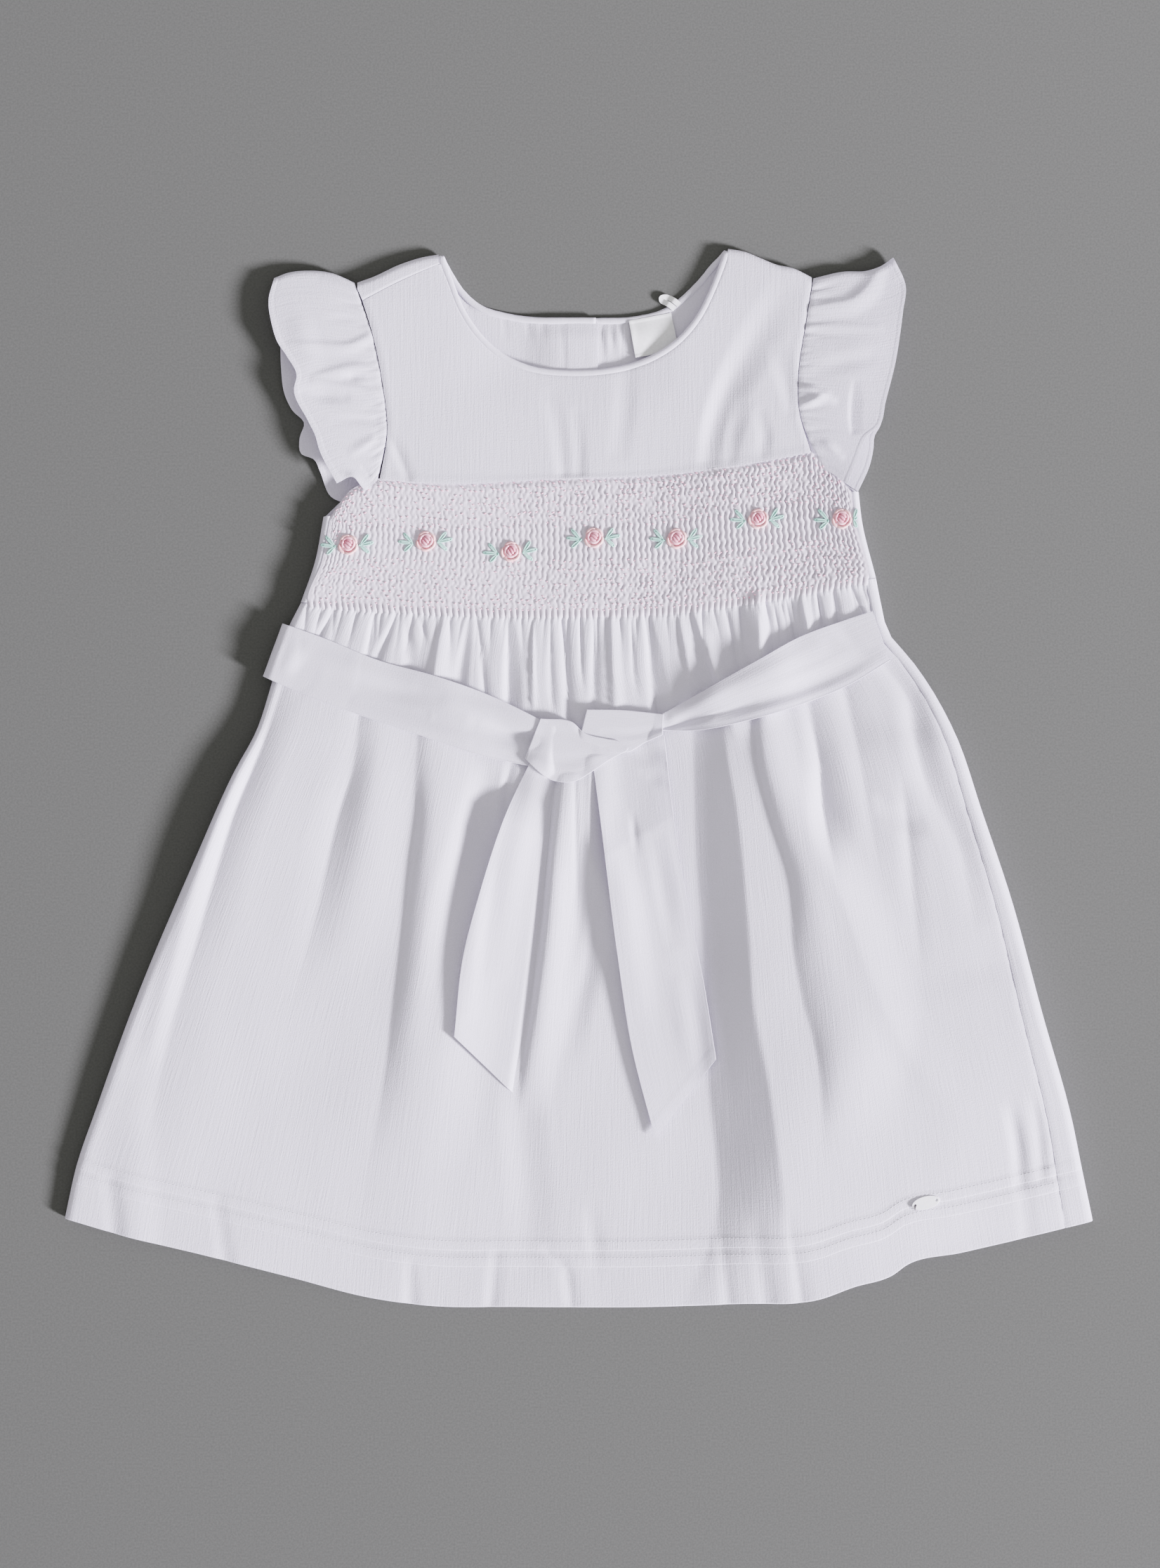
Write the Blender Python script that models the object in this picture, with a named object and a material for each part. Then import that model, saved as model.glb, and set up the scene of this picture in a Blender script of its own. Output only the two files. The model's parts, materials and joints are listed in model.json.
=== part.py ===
"""A toddler's dress laid flat: smocked front, flutter sleeves and a sash tied at the front.

Tables and driving dimensions are in millimetres. x runs to the viewer's right, y towards the neck and z up
from the surface that the dress lies on. The origin is on that surface, under the middle of the dress.
"""

import bpy
import numpy as np
from mathutils import Vector
from mathutils.bvhtree import BVHTree

MM = 0.001

# Driving dimensions
CLOTH = 1.0  # wall of a cotton panel with its seam allowances
SASH_CLOTH = 1.2  # the sash is a flattened tube, so two layers
KNOT_CLOTH = 3.0  # the knot's lobes are several layers deep
GAP = 0.3  # between pieces that meet
STACK_GAP = 0.6  # between faceted pieces that lie on each other
SIDE_ROLL = 4.0  # reach of the rolled skirt side, in from the outline
BODICE_ROLL = 2.5
SHOULDER_ROLL = 3.0
BODICE_SEAM = 3.2  # the back shows this far in from the bodice outline
PIPING = 1.5  # radius of the neck binding
NECK_GAP = 0.5  # from the binding's faceted tube to the panels beside it
SLEEVE_GAP = 1.0  # from a gathered sleeve edge to its armhole
HEM_DEPTH = 17.0
TUCK_DEPTH = 5.3
TUCK_PITCH = 7.0
TUCK_RISE = 0.9  # a tuck stands this much over the panel
PLAIN_END = 50.0  # the evenly spaced rows of the skirt end this far above the hem
SLEEVE_RUN = 95.0  # from the fold of a sleeve to its lower end
SLEEVE_WAVE = 1.6  # height of its ripples at the free edge
BUTTON_RADIUS = 5.0
BUTTON_THICKNESS = 1.8
BUTTON_HOLE = 1.3
BUTTON_HOLE_PITCH = 2.4
BUTTON_X = -1.5
BUTTONS_Y = (200.0, 160.0, 120.0)
CHARM_SIZE = (13.0, 5.9, 0.8)
CHARM_HOLE = 1.2
CHARM_HOLE_INSET = 1.4
CHARM_PLACE = (160.2, -196.0)
CHARM_TILT = 14.0
LOOP_RIBBON = 0.8

FLOOR_MID = CLOTH / 2  # mid-wall of cloth that lies on the surface
PLACKET_LIFT = BUTTON_THICKNESS + 0.5  # the buttons hold the placket this far up
PLACKET_REACH = 19.0  # the lift dies away this far to each side of the buttons
PLACKET_FLANK = 11.5
PLACKET_LOW = 92.0  # and at this y, over the run above it
PLACKET_RUN = 18.0
OVERLAP_START = -17.0  # x where the left half starts to rise over the right one
OVERLAP_RUN = 7.0

# Outlines in plan, each a row of (x, y)
SKIRT_LEFT = (
    (-128.5, 81), (-135, 68), (-142.5, 42), (-149, 22), (-159.5, 2.5), (-177, -36.5),
    (-204.5, -101.5), (-223.5, -153.5), (-232.5, -179.5), (-238, -204),
)
SKIRT_RIGHT = (
    (137.5, 92.5), (140, 80), (143, 68), (154, 54.5), (163, 41.5), (173.5, 22), (187, -17),
    (200, -56), (214, -108), (228.5, -160), (232.5, -179.5), (238, -205),
)
WAIST = ((-128.5, 81), (-105, 79), (-72, 77), (-14, 75.5), (44, 77), (95, 84), (137.5, 92.5))
HEM = (
    (-238, -204), (-212.5, -211.5), (-173.5, -221), (-134.5, -231), (-95.5, -241), (-69.5, -244.5),
    (-30, -245), (34, -245), (73, -243.5), (112, -241), (127, -235.5), (145, -230), (152, -225),
    (177, -219.5), (203, -213.5), (238, -205),
)
BODICE_LEFT = ((-118, 121), (-122, 100), (-128.5, 81.3))
BODICE_RIGHT = ((129.5, 132.5), (131, 119.5), (137.5, 92.8))
YOKE_SEAM = ((-92, 138), (-64.5, 136), (-14, 138), (44, 140.5), (95, 148), (107.5, 150.5))
UNDERARM_LEFT = ((-92, 138), (-105, 132.5), (-118, 121))
UNDERARM_RIGHT = ((107.5, 150.5), (118, 141.5), (129.5, 132.5))
ARMHOLE_LEFT = ((-102.5, 227), (-95.5, 206), (-91, 184.5), (-88.5, 160), (-92, 138))
ARMHOLE_RIGHT = ((108, 228.5), (105, 210.5), (101.5, 185), (102, 170), (107.5, 150.5))
SHOULDER_LEFT = ((-102.5, 229.5), (-95.5, 232), (-82.5, 238), (-72, 241.3), (-66.5, 242.3))
SHOULDER_RIGHT = ((70.5, 245), (76.5, 244), (84, 241), (92, 237.8), (99, 236.3), (108, 232))
SHOULDER_SEAM_LEFT = ((-100, 221), (-86, 228.5), (-69, 236.5))
NECK_FRONT = (
    (-62.5, 241.5), (-58.5, 231.5), (-53.5, 218.5), (-46.5, 207.5), (-36, 197.5), (-25, 192), (-2, 189),
    (19, 191), (33, 195.5), (46, 204), (55, 215), (60.5, 226), (67, 242),
)
NECK_BACK_LEFT = ((-62.5, 241.5), (-58.5, 234.5), (-52, 225), (-45.5, 219.6), (-32, 215.5), (8, 213.5))
NECK_BACK_RIGHT = ((9.2, 213.5), (24.5, 214), (41, 218.5), (50.5, 226), (57, 232.8), (61, 238), (67, 242))
PLACKET_EDGE_LEFT = ((8.5, 209.5), (11.5, 76.8))  # edge of the left half, which lies inside
PLACKET_EDGE_RIGHT = ((-6.5, 209.5), (-6.5, 76.3))

# Flutter sleeves: the free edge of the front layer and of the back layer that shows beyond it
SLEEVE_LEFT_FOLD = ((-141, 231.5), (-134.5, 234), (-125, 235), (-115, 234), (-104, 229.5))
SLEEVE_LEFT_FRONT = (
    (-141, 231.5), (-144, 222), (-142.5, 212), (-134, 193.5), (-131.5, 182), (-124, 163),
    (-115, 142.5), (-111.5, 136),
)
SLEEVE_LEFT_BACK = (
    (-141, 231.5), (-140.5, 217), (-138.5, 190), (-134.5, 173), (-129.5, 157), (-120.5, 142),
    (-115, 134.5), (-111, 131.5),
)
SLEEVE_RIGHT_FOLD = ((109, 231.5), (122.5, 234.5), (134, 235), (140, 237), (146, 241))
SLEEVE_RIGHT_FRONT = (
    (146, 241), (151.5, 227), (149, 212), (147, 194.5), (142, 174), (138.5, 161), (129.5, 148),
    (124, 135.5),
)
SLEEVE_RIGHT_BACK = (
    (146, 241), (149, 212), (147, 194.5), (142, 174), (137.5, 158), (136, 147), (131, 136),
)

# Sash, from the side seams to the knot, and its free ends
SASH_LEFT_TOP = ((-137, 71.5), (-117.5, 64.5), (-93, 54.5), (-66, 47), (-42, 38.5), (-17, 26.5))
SASH_LEFT_LOW = ((-146, 47), (-132.5, 41), (-101, 29), (-68, 18), (-44, 10), (-21, 5))
SASH_RIGHT_TOP = ((35, 27.5), (50.5, 36), (64.5, 44), (84, 55), (102, 65), (122, 72.5), (137, 77.5))
SASH_RIGHT_LOW = ((35, 22), (54.5, 22), (80, 27), (106, 35), (125, 43), (145, 55))
TAIL_LEFT_EDGES = (
    ((-22, 8), (-31, -10.5), (-46.5, -56), (-53, -81), (-57.5, -119.5)),
    ((-9, 3), (-12, -12), (-14.5, -36.5), (-21.5, -103.5), (-28.5, -148)),
)
TAIL_RIGHT_EDGES = (
    ((6.5, 8), (9.5, -15), (18, -82), (24.5, -124), (35.5, -167)),
    ((39.5, 20), (45, -26.5), (50.5, -59), (57.5, -93), (63.5, -130)),
)
KNOT_WRAP_TOP = ((-18, 28), (2.5, 26.5), (9, 19.5), (22, 13.5), (32.5, 16), (39, 18.6))
KNOT_WRAP_LOW = ((-24.5, 8.5), (-13, -0.5), (-7.5, -1.5), (7, 4), (24.5, 10.5), (39.5, 17.4))
KNOT_LOOP_TOP = ((4, 32), (20, 31), (39.5, 29))
KNOT_LOOP_LOW = ((1.8, 22.5), (9.5, 21.5), (22, 16), (32, 18.5), (38.5, 20.5))

LABEL_CORNERS = ((23.2, 209.8), (43.4, 214), (46.9, 196.4), (26.7, 192.6))
LOOP_BASE = ((41.6, 217.5), (46, 220))
LOOP_TIP = ((37.4, 223), (41.6, 224.5))

# Mid-wall height of the front, down the middle and just inside the rolled sides
LOFT = (  # y, middle, side
    (245, 6.6, 6.0),
    (190, 7.2, 6.0),
    (140, 7.0, 6.5),
    (80, 6.0, 7.0),
    (20, 4.5, 8.0),
    (-150, 3.4, 7.5),
    (-245, 3.0, 5.0),
)
LOFT_REACH = 24.0

# Main folds of the front skirt: the crest's line down the skirt, its height and how far each flank runs
FOLDS = (  # crest top, crest middle, crest low, height, left flank, right flank
    ((-69.5, 17), (-72, -43), (-71.5, -125), 5.0, 10, 24),
    ((5.5, 3), (6, -36), (14, -75), 3.5, 16, 9),
    ((52, 20), (55, -30), (62, -121), 4.5, 24, 9),
    ((69, 16), (77.5, -59), (94, -205), 6.5, 15, 15),
    ((86.5, 16), (98, -49), (120.5, -147), 5.0, 9, 18),
    ((107.5, 32), (120, -45), (160, -130), 3.0, 14, 20),
    ((127, 40), (130.5, 6), (137, -23), 2.2, 9, 12),
    ((-101, 29), (-110, -14), (-120.5, -59), 2.5, 11, 15),
    ((-136, 30), (-167, -62), (-186.5, -127), -2.0, 14, 18),
)
FOLD_FADE = 28.0  # a fold rises and dies over this length at its two ends

SKIRT_COLUMNS = 34
BACK_COLUMNS = 10

SEAM_INSET = ((0.0, 4.8), (0.2, 4.8), (1.0, 12.6))  # share of the skirt's length, inset of its right seam

YOKE_TOP = (0.17, 0.81)  # shares of the yoke's width where its shoulders end and its neck lies
NECK_TRIM = 0.03  # the neck line starts this share along, below the shoulder seam
SHOULDER_SHARE = 0.3  # a shoulder's share of the width of half a back
UNDERARM_SHARE = 0.7  # share of the height where the side seam begins
BACK_SPLIT = 0.52  # the placket's edge, as a share of the waist from the left
BACK_OVERLAP = 0.06  # and how far the right half goes on under the left one
PLACKET_COLUMNS = (24.0, 17.5, 12.0, 6.0, 0.0)  # distances of these columns from the placket's edge

SASH_LEFT_LENGTH = 130.0
SASH_LEFT_END = 124.0  # it ends short of the knot's lobe
SASH_RIGHT_END = 0.985
WRAP_RISE = (1.5, 4)  # crown of this lobe of the knot, and the reach that it clears what is under it
KNOT_LOOP_RISE = (1.2, 3)


# ------------------------------------------------------------------ curves and patches


def through(points):
    """A smooth curve through some points, as a function of the share of its length."""
    points = np.array(points, float)
    steps = np.linalg.norm(np.diff(points, axis=0), axis=1)
    knots = np.append(0.0, np.cumsum(steps)) / steps.sum()
    slopes = np.gradient(points, knots, axis=0)

    def at(share):
        share = np.asarray(share, float)
        span = np.clip(np.searchsorted(knots, share, side="right") - 1, 0, len(knots) - 2)
        length = (knots[span + 1] - knots[span])[..., None]
        t = (share - knots[span])[..., None] / length
        from_start = (1 + 2 * t) * (1 - t) ** 2 * points[span] + t * (1 - t) ** 2 * length * slopes[span]
        from_end = t * t * (3 - 2 * t) * points[span + 1] + t * t * (t - 1) * length * slopes[span + 1]
        return from_start + from_end

    return at


def joined(*pieces):
    """Curves end to end. Each piece is the curve and the share at which it ends."""

    def at(share):
        share = np.asarray(share, float)
        place = np.zeros(share.shape + (2,))
        start = 0.0
        for curve, end in pieces:
            inside = (share >= start) & (share <= end)
            place[inside] = curve((share[inside] - start) / (end - start))
            start = end
        return place

    return at


def shifted(curve, dx=0.0, dy=0.0):
    return lambda share: curve(share) + np.array([dx, dy])


def beside(curve, distance):
    """The curve moved sideways, to the right of its direction of travel."""

    def at(share):
        share = np.asarray(share, float)
        ahead = curve(np.minimum(share + 0.01, 1)) - curve(np.maximum(share - 0.01, 0))
        ahead /= np.linalg.norm(ahead, axis=-1, keepdims=True)
        return curve(share) + distance * np.stack([ahead[..., 1], -ahead[..., 0]], axis=-1)

    return at


def part_of(curve, start, end):
    return lambda share: curve(start + (end - start) * np.asarray(share, float))


def patch(top, low, left, right):
    """Plan position at (across, down) inside four edge curves: a Coons patch."""

    def at(across, down):
        across, down = np.broadcast_arrays(np.asarray(across, float), float(down))
        a, d = across[..., None], down[..., None]
        lengthwise = (1 - d) * top(across) + d * low(across)
        crosswise = (1 - a) * left(down) + a * right(down)
        corners = (1 - d) * ((1 - a) * top(0) + a * top(1)) + d * ((1 - a) * low(0) + a * low(1))
        return lengthwise + crosswise - corners

    return at


def straight(start, end):
    start, end = np.array(start, float), np.array(end, float)
    return lambda share: start + (end - start) * np.asarray(share, float)[..., None]


def between(left_edge, right_edge):
    """A patch from a left and a right edge, with straight ends."""
    left, right = through(left_edge), through(right_edge)
    return patch(straight(left(0), right(0)), straight(left(1), right(1)), left, right)


def band(top_edge, low_edge):
    """A patch from a top and a low edge, with straight sides."""
    top, low = through(top_edge), through(low_edge)
    return patch(top, low, straight(top(0), low(0)), straight(top(1), low(1)))


def smooth_step(value):
    value = np.clip(value, 0, 1)
    return value * value * (3 - 2 * value)


def roll(angles, depth):
    """A rolled edge: how far in each of its lines lies, and the share of the way up from the surface."""
    turn = np.radians(np.array(angles, float))
    return depth * (1 - np.cos(turn)), (1 + np.sin(turn)) / 2


# ------------------------------------------------------------------ heights


def outline_x(y, *tables):
    """x of a side of the dress at height y, from side tables that run down it."""
    points = np.array(sorted((row[1], row[0]) for table in tables for row in table))
    return np.interp(y, points[:, 0], points[:, 1])


def fold_height(x, y):
    """Rise of the front skirt's folds at (x, y)."""
    rise = np.zeros_like(x)
    for top, middle, low, height, left, right in FOLDS:
        crest = np.polynomial.Polynomial.fit(*np.array([top, middle, low])[:, ::-1].T, 2)
        across = x - crest(y)
        profile = smooth_step(1 - np.where(across < 0, -across / left, across / right))
        ends = smooth_step((top[1] + FOLD_FADE / 2 - y) / FOLD_FADE)
        ends = ends * smooth_step((y - low[1] + FOLD_FADE / 2) / FOLD_FADE)
        rise += height * profile * ends
    return rise


def front_z(plan):
    """Mid-wall height of the front of the dress."""
    x, y = plan[..., 0], plan[..., 1]
    y_table, middle, side = np.array(LOFT)[::-1].T
    left = outline_x(y, ARMHOLE_LEFT, BODICE_LEFT, SKIRT_LEFT)
    right = outline_x(y, ARMHOLE_RIGHT, BODICE_RIGHT, SKIRT_RIGHT)
    inside = np.maximum(np.minimum(x - left, right - x), 0)
    share = np.exp(-inside / LOFT_REACH)
    base = np.interp(y, y_table, middle)
    return base + (np.interp(y, y_table, side) - base) * share + fold_height(x, y)


def placket_z(plan):
    """Mid-wall height of the back bodice, which its buttons hold up along the placket."""
    reach = np.abs(plan[..., 0] - BUTTON_X)
    across = smooth_step((PLACKET_REACH - reach) / PLACKET_FLANK)
    along = smooth_step((plan[..., 1] - PLACKET_LOW) / PLACKET_RUN)
    return FLOOR_MID + PLACKET_LIFT * across * along


def overlap_rise(x):
    """Extra height of the left half of the back where it lies on the right half."""
    return (CLOTH + STACK_GAP) * smooth_step((x - OVERLAP_START) / OVERLAP_RUN)


def raised(plan, low_z, up):
    """Points of a panel: the share up takes each from low_z to the front of the dress."""
    z = low_z + (front_z(plan) - low_z) * up
    return np.concatenate([plan, z[..., None]], axis=-1)


def tuck_rise(from_hem):
    """The two tucks stand a little over the panel. Each has its fold below and its stitches above."""
    rise = np.zeros_like(from_hem)
    for fold in (HEM_DEPTH, HEM_DEPTH + TUCK_PITCH):
        inside = from_hem - fold
        rise += TUCK_RISE * smooth_step((inside + 1) / 1) * smooth_step((TUCK_DEPTH - inside) / TUCK_DEPTH)
    return rise


# ------------------------------------------------------------------ objects


def clear_scene():
    for item in list(bpy.data.objects):
        bpy.data.objects.remove(item, do_unlink=True)


def finish(name, colour, roughness, metallic=0.0):
    material = bpy.data.materials.new(name)
    material.use_nodes = True
    shader = material.node_tree.nodes["Principled BSDF"]
    shader.inputs["Base Color"].default_value = (*colour, 1)
    shader.inputs["Roughness"].default_value = roughness
    shader.inputs["Metallic"].default_value = metallic
    material.diffuse_color = (*colour, 1)
    return material


def placed(name, data, material):
    piece = bpy.data.objects.new(name, data)
    data.materials.append(material)
    bpy.context.collection.objects.link(piece)
    return piece


def cloth(name, grid, wall, material):
    """A panel from a grid of mid-wall points (mm), thickened both ways. A point that is NaN is left out."""
    grid = np.asarray(grid, float)
    rows, columns = grid.shape[:2]
    used = ~np.isnan(grid[..., 0])
    number = np.where(used, np.cumsum(used.ravel()).reshape(used.shape) - 1, -1)
    faces = []
    for r in range(rows - 1):
        for c in range(columns - 1):
            corners = (number[r, c], number[r + 1, c], number[r + 1, c + 1], number[r, c + 1])
            if min(corners) >= 0:
                faces.append([int(corner) for corner in corners])
    mesh = bpy.data.meshes.new(name)
    mesh.from_pydata((grid[used] * MM).tolist(), [], faces)
    mesh.shade_smooth()
    piece = placed(name, mesh, material)
    wall_modifier = piece.modifiers.new("wall", "SOLIDIFY")
    wall_modifier.thickness = wall * MM
    wall_modifier.offset = 0
    wall_modifier.use_even_offset = True
    return piece


def tube(name, points, radius, material):
    curve = bpy.data.curves.new(name, "CURVE")
    curve.dimensions = "3D"
    curve.bevel_depth = radius * MM
    curve.bevel_resolution = 1
    curve.use_fill_caps = True
    spline = curve.splines.new("POLY")
    spline.points.add(len(points) - 1)
    for point, place in zip(spline.points, points):
        point.co = (*(np.array(place) * MM), 1)
    return placed(name, curve, material)


def ellipse(size_x, size_y, centre, count):
    turn = np.linspace(0, 2 * np.pi, count, endpoint=False)
    return np.stack([centre[0] + size_x / 2 * np.cos(turn), centre[1] + size_y / 2 * np.sin(turn)], axis=-1)


def plate(name, outline, holes, thickness, material):
    """A flat plate with holes, centred on its own origin."""
    curve = bpy.data.curves.new(name, "CURVE")
    curve.dimensions = "2D"
    curve.fill_mode = "BOTH"
    curve.extrude = thickness / 2 * MM
    for loop in (outline, *holes):
        spline = curve.splines.new("POLY")
        spline.points.add(len(loop) - 1)
        for point, (x, y) in zip(spline.points, loop):
            point.co = (x * MM, y * MM, 0, 1)
        spline.use_cyclic_u = True
    return placed(name, curve, material)


class Pile:
    """The pieces laid so far, for the next one to rest on."""

    def __init__(self):
        self.trees = []

    def add(self, piece):
        bpy.context.view_layer.update()
        self.trees.append(BVHTree.FromObject(piece, bpy.context.evaluated_depsgraph_get()))
        return piece

    def top(self, x, y):
        start = Vector((x * MM, y * MM, 1))
        hits = [tree.ray_cast(start, Vector((0, 0, -1)))[0] for tree in self.trees]
        return max((hit.z / MM for hit in hits if hit), default=0.0)

    def over(self, plan, reach):
        """The highest top within reach of each plan position."""
        height = np.zeros(plan.shape[:-1])
        around = [(0.0, 0.0)]
        for ring in (reach / 2, reach):
            around += [(ring * np.cos(turn), ring * np.sin(turn)) for turn in np.radians(range(0, 360, 45))]
        for place in np.ndindex(height.shape):
            x, y = plan[place]
            height[place] = max(self.top(x + dx, y + dy) for dx, dy in around)
        return height


def bridged(floor, rounds):
    """Cloth drawn a little tight over a bumpy floor: it never sinks into it."""
    z = floor.copy()
    for _ in range(rounds):
        padded = np.pad(z, 1, mode="edge")
        around = padded[:-2, 1:-1] + padded[2:, 1:-1] + padded[1:-1, :-2] + padded[1:-1, 2:]
        z = np.maximum(floor, around / 4)
    return z


def laid(plan, pile, wall, reach, rounds=6):
    """Mid-wall points of a piece that lies on the pile."""
    z = bridged(pile.over(plan, reach), rounds) + STACK_GAP + wall / 2
    return np.concatenate([plan, z[..., None]], axis=-1)


def sampled(surface, across, down):
    return np.stack([surface(np.asarray(across, float), share) for share in down])


# ------------------------------------------------------------------ skirt


def skirt_surface():
    return patch(through(WAIST), through(HEM), through(SKIRT_LEFT), through(SKIRT_RIGHT))


def skirt_rows():
    """Shares of the skirt's length: even down to the tucks, and a line at each fold and stitch row."""
    length = through(SKIRT_LEFT)
    length = np.linalg.norm(np.diff(length(np.linspace(0, 1, 40)), axis=0), axis=1).sum()
    fold = HEM_DEPTH + TUCK_PITCH
    from_hem = (fold + TUCK_DEPTH + 6, fold + TUCK_DEPTH, fold, fold - 1, HEM_DEPTH, HEM_DEPTH - 1, 0)
    return np.append(np.linspace(0, 1 - PLAIN_END / length, 9), 1 - np.array(from_hem) / length), length


def front_skirt(surface, material):
    """The front wraps round the left side and ends on the underside. On the right it ends at its seam."""
    angles = (-90, -45, 0, 45)
    rows, length = skirt_rows()
    grid = []
    for share in rows:
        width = np.linalg.norm(surface(1, share) - surface(0, share))
        inset, up = roll(angles, SIDE_ROLL)
        seam = 1 - np.interp(share, *np.array(SEAM_INSET).T) / width
        across = np.concatenate([inset / width, np.linspace(SIDE_ROLL / width, seam, SKIRT_COLUMNS)])
        up = np.concatenate([up, np.ones(SKIRT_COLUMNS)])
        points = raised(surface(across, share), FLOOR_MID, up)
        points[:, 2] += tuck_rise((1 - share) * length * np.ones(len(up))) * (up == 1)
        grid.append(points)
    return cloth("front_skirt", grid, CLOTH, material)


def back_skirt(surface, material):
    """The back lies on the surface, wraps round the right side and ends at the seam on the front."""
    angles = (-45, 0, 45, 90)
    rows, _ = skirt_rows()
    grid = []
    for share in rows:
        width = np.linalg.norm(surface(1, share) - surface(0, share))
        inset, up = roll(angles, SIDE_ROLL)
        seam = (np.interp(share, *np.array(SEAM_INSET).T) - GAP) / width
        flat = np.linspace((SIDE_ROLL + GAP) / width, 1 - SIDE_ROLL / width, BACK_COLUMNS)
        across = np.concatenate([flat, 1 - inset / width, [1 - seam]])
        up = np.concatenate([np.zeros(BACK_COLUMNS), up, [1]])
        grid.append(raised(surface(across, share), FLOOR_MID, up))
    return cloth("back_skirt", grid, CLOTH, material)


# ------------------------------------------------------------------ bodice


def smocked_panel(material):
    left = shifted(through(BODICE_LEFT), dx=BODICE_SEAM)
    right = shifted(through(BODICE_RIGHT), dx=-BODICE_SEAM)
    corner_left, corner_right = left(0), right(0)
    top = joined(
        (through((corner_left, (-105, 133.5), YOKE_SEAM[0])), 0.12),
        (through(YOKE_SEAM), 0.9),
        (through((YOKE_SEAM[-1], (118, 142), corner_right)), 1.0),
    )
    low = shifted(part_of(through(WAIST), 0.014, 0.986), dy=GAP)
    grid = sampled(patch(top, low, left, right), np.linspace(0, 1, 27), np.linspace(0, 1, 6))
    return cloth("front_smocked_panel", raised(grid, 0, 1), CLOTH, material)


def front_yoke(material):
    """The yoke ends at the shoulder seam on the left, and rolls over the shoulder on the right."""
    neck = beside(through(NECK_FRONT), 2 * PIPING + NECK_GAP)
    seam = shifted(through(SHOULDER_SEAM_LEFT), dy=-GAP)
    shoulder = through(SHOULDER_RIGHT)
    seam_end, neck_end = YOKE_TOP
    inner_shoulder = shifted(shoulder, dy=-SHOULDER_ROLL)
    top = joined((seam, seam_end), (part_of(neck, NECK_TRIM, 1), neck_end), (inner_shoulder, 1.0))
    left = through((seam(0), *ARMHOLE_LEFT[1:-1], (YOKE_SEAM[0][0], YOKE_SEAM[0][1] + GAP)))
    right = through((top(1), *ARMHOLE_RIGHT[1:-1], (YOKE_SEAM[-1][0], YOKE_SEAM[-1][1] + GAP)))
    low = shifted(through(YOKE_SEAM), dy=GAP)
    shoulder_start = neck_end + 0.001
    across = np.unique(np.concatenate([
        np.linspace(0, seam_end, 5), np.linspace(seam_end, neck_end, 17), np.linspace(shoulder_start, 1, 5),
    ]))
    grid = raised(sampled(patch(top, low, left, right), across, np.linspace(0, 1, 8)), 0, 1)
    over = across > neck_end
    inset, up = roll((5, 45), SHOULDER_ROLL)
    rolls = rolled_rows(shoulder, across, over, shoulder_start, inset, up)
    return cloth("front_yoke", np.concatenate([rolls, grid]), CLOTH, material)


def rolled_rows(edge, across, over, start, inset, up, end=1.0):
    """Lines of a panel rolled over a shoulder, only where over is true. They run from the outside in."""
    rows = []
    for depth, share in zip(inset, up):
        row = np.full((len(across), 3), np.nan)
        plan = edge((across[over] - start) / (end - start)) - np.array([0, depth])
        row[over] = raised(plan, FLOOR_MID, share)
        rows.append(row)
    return np.array(rows)


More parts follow.
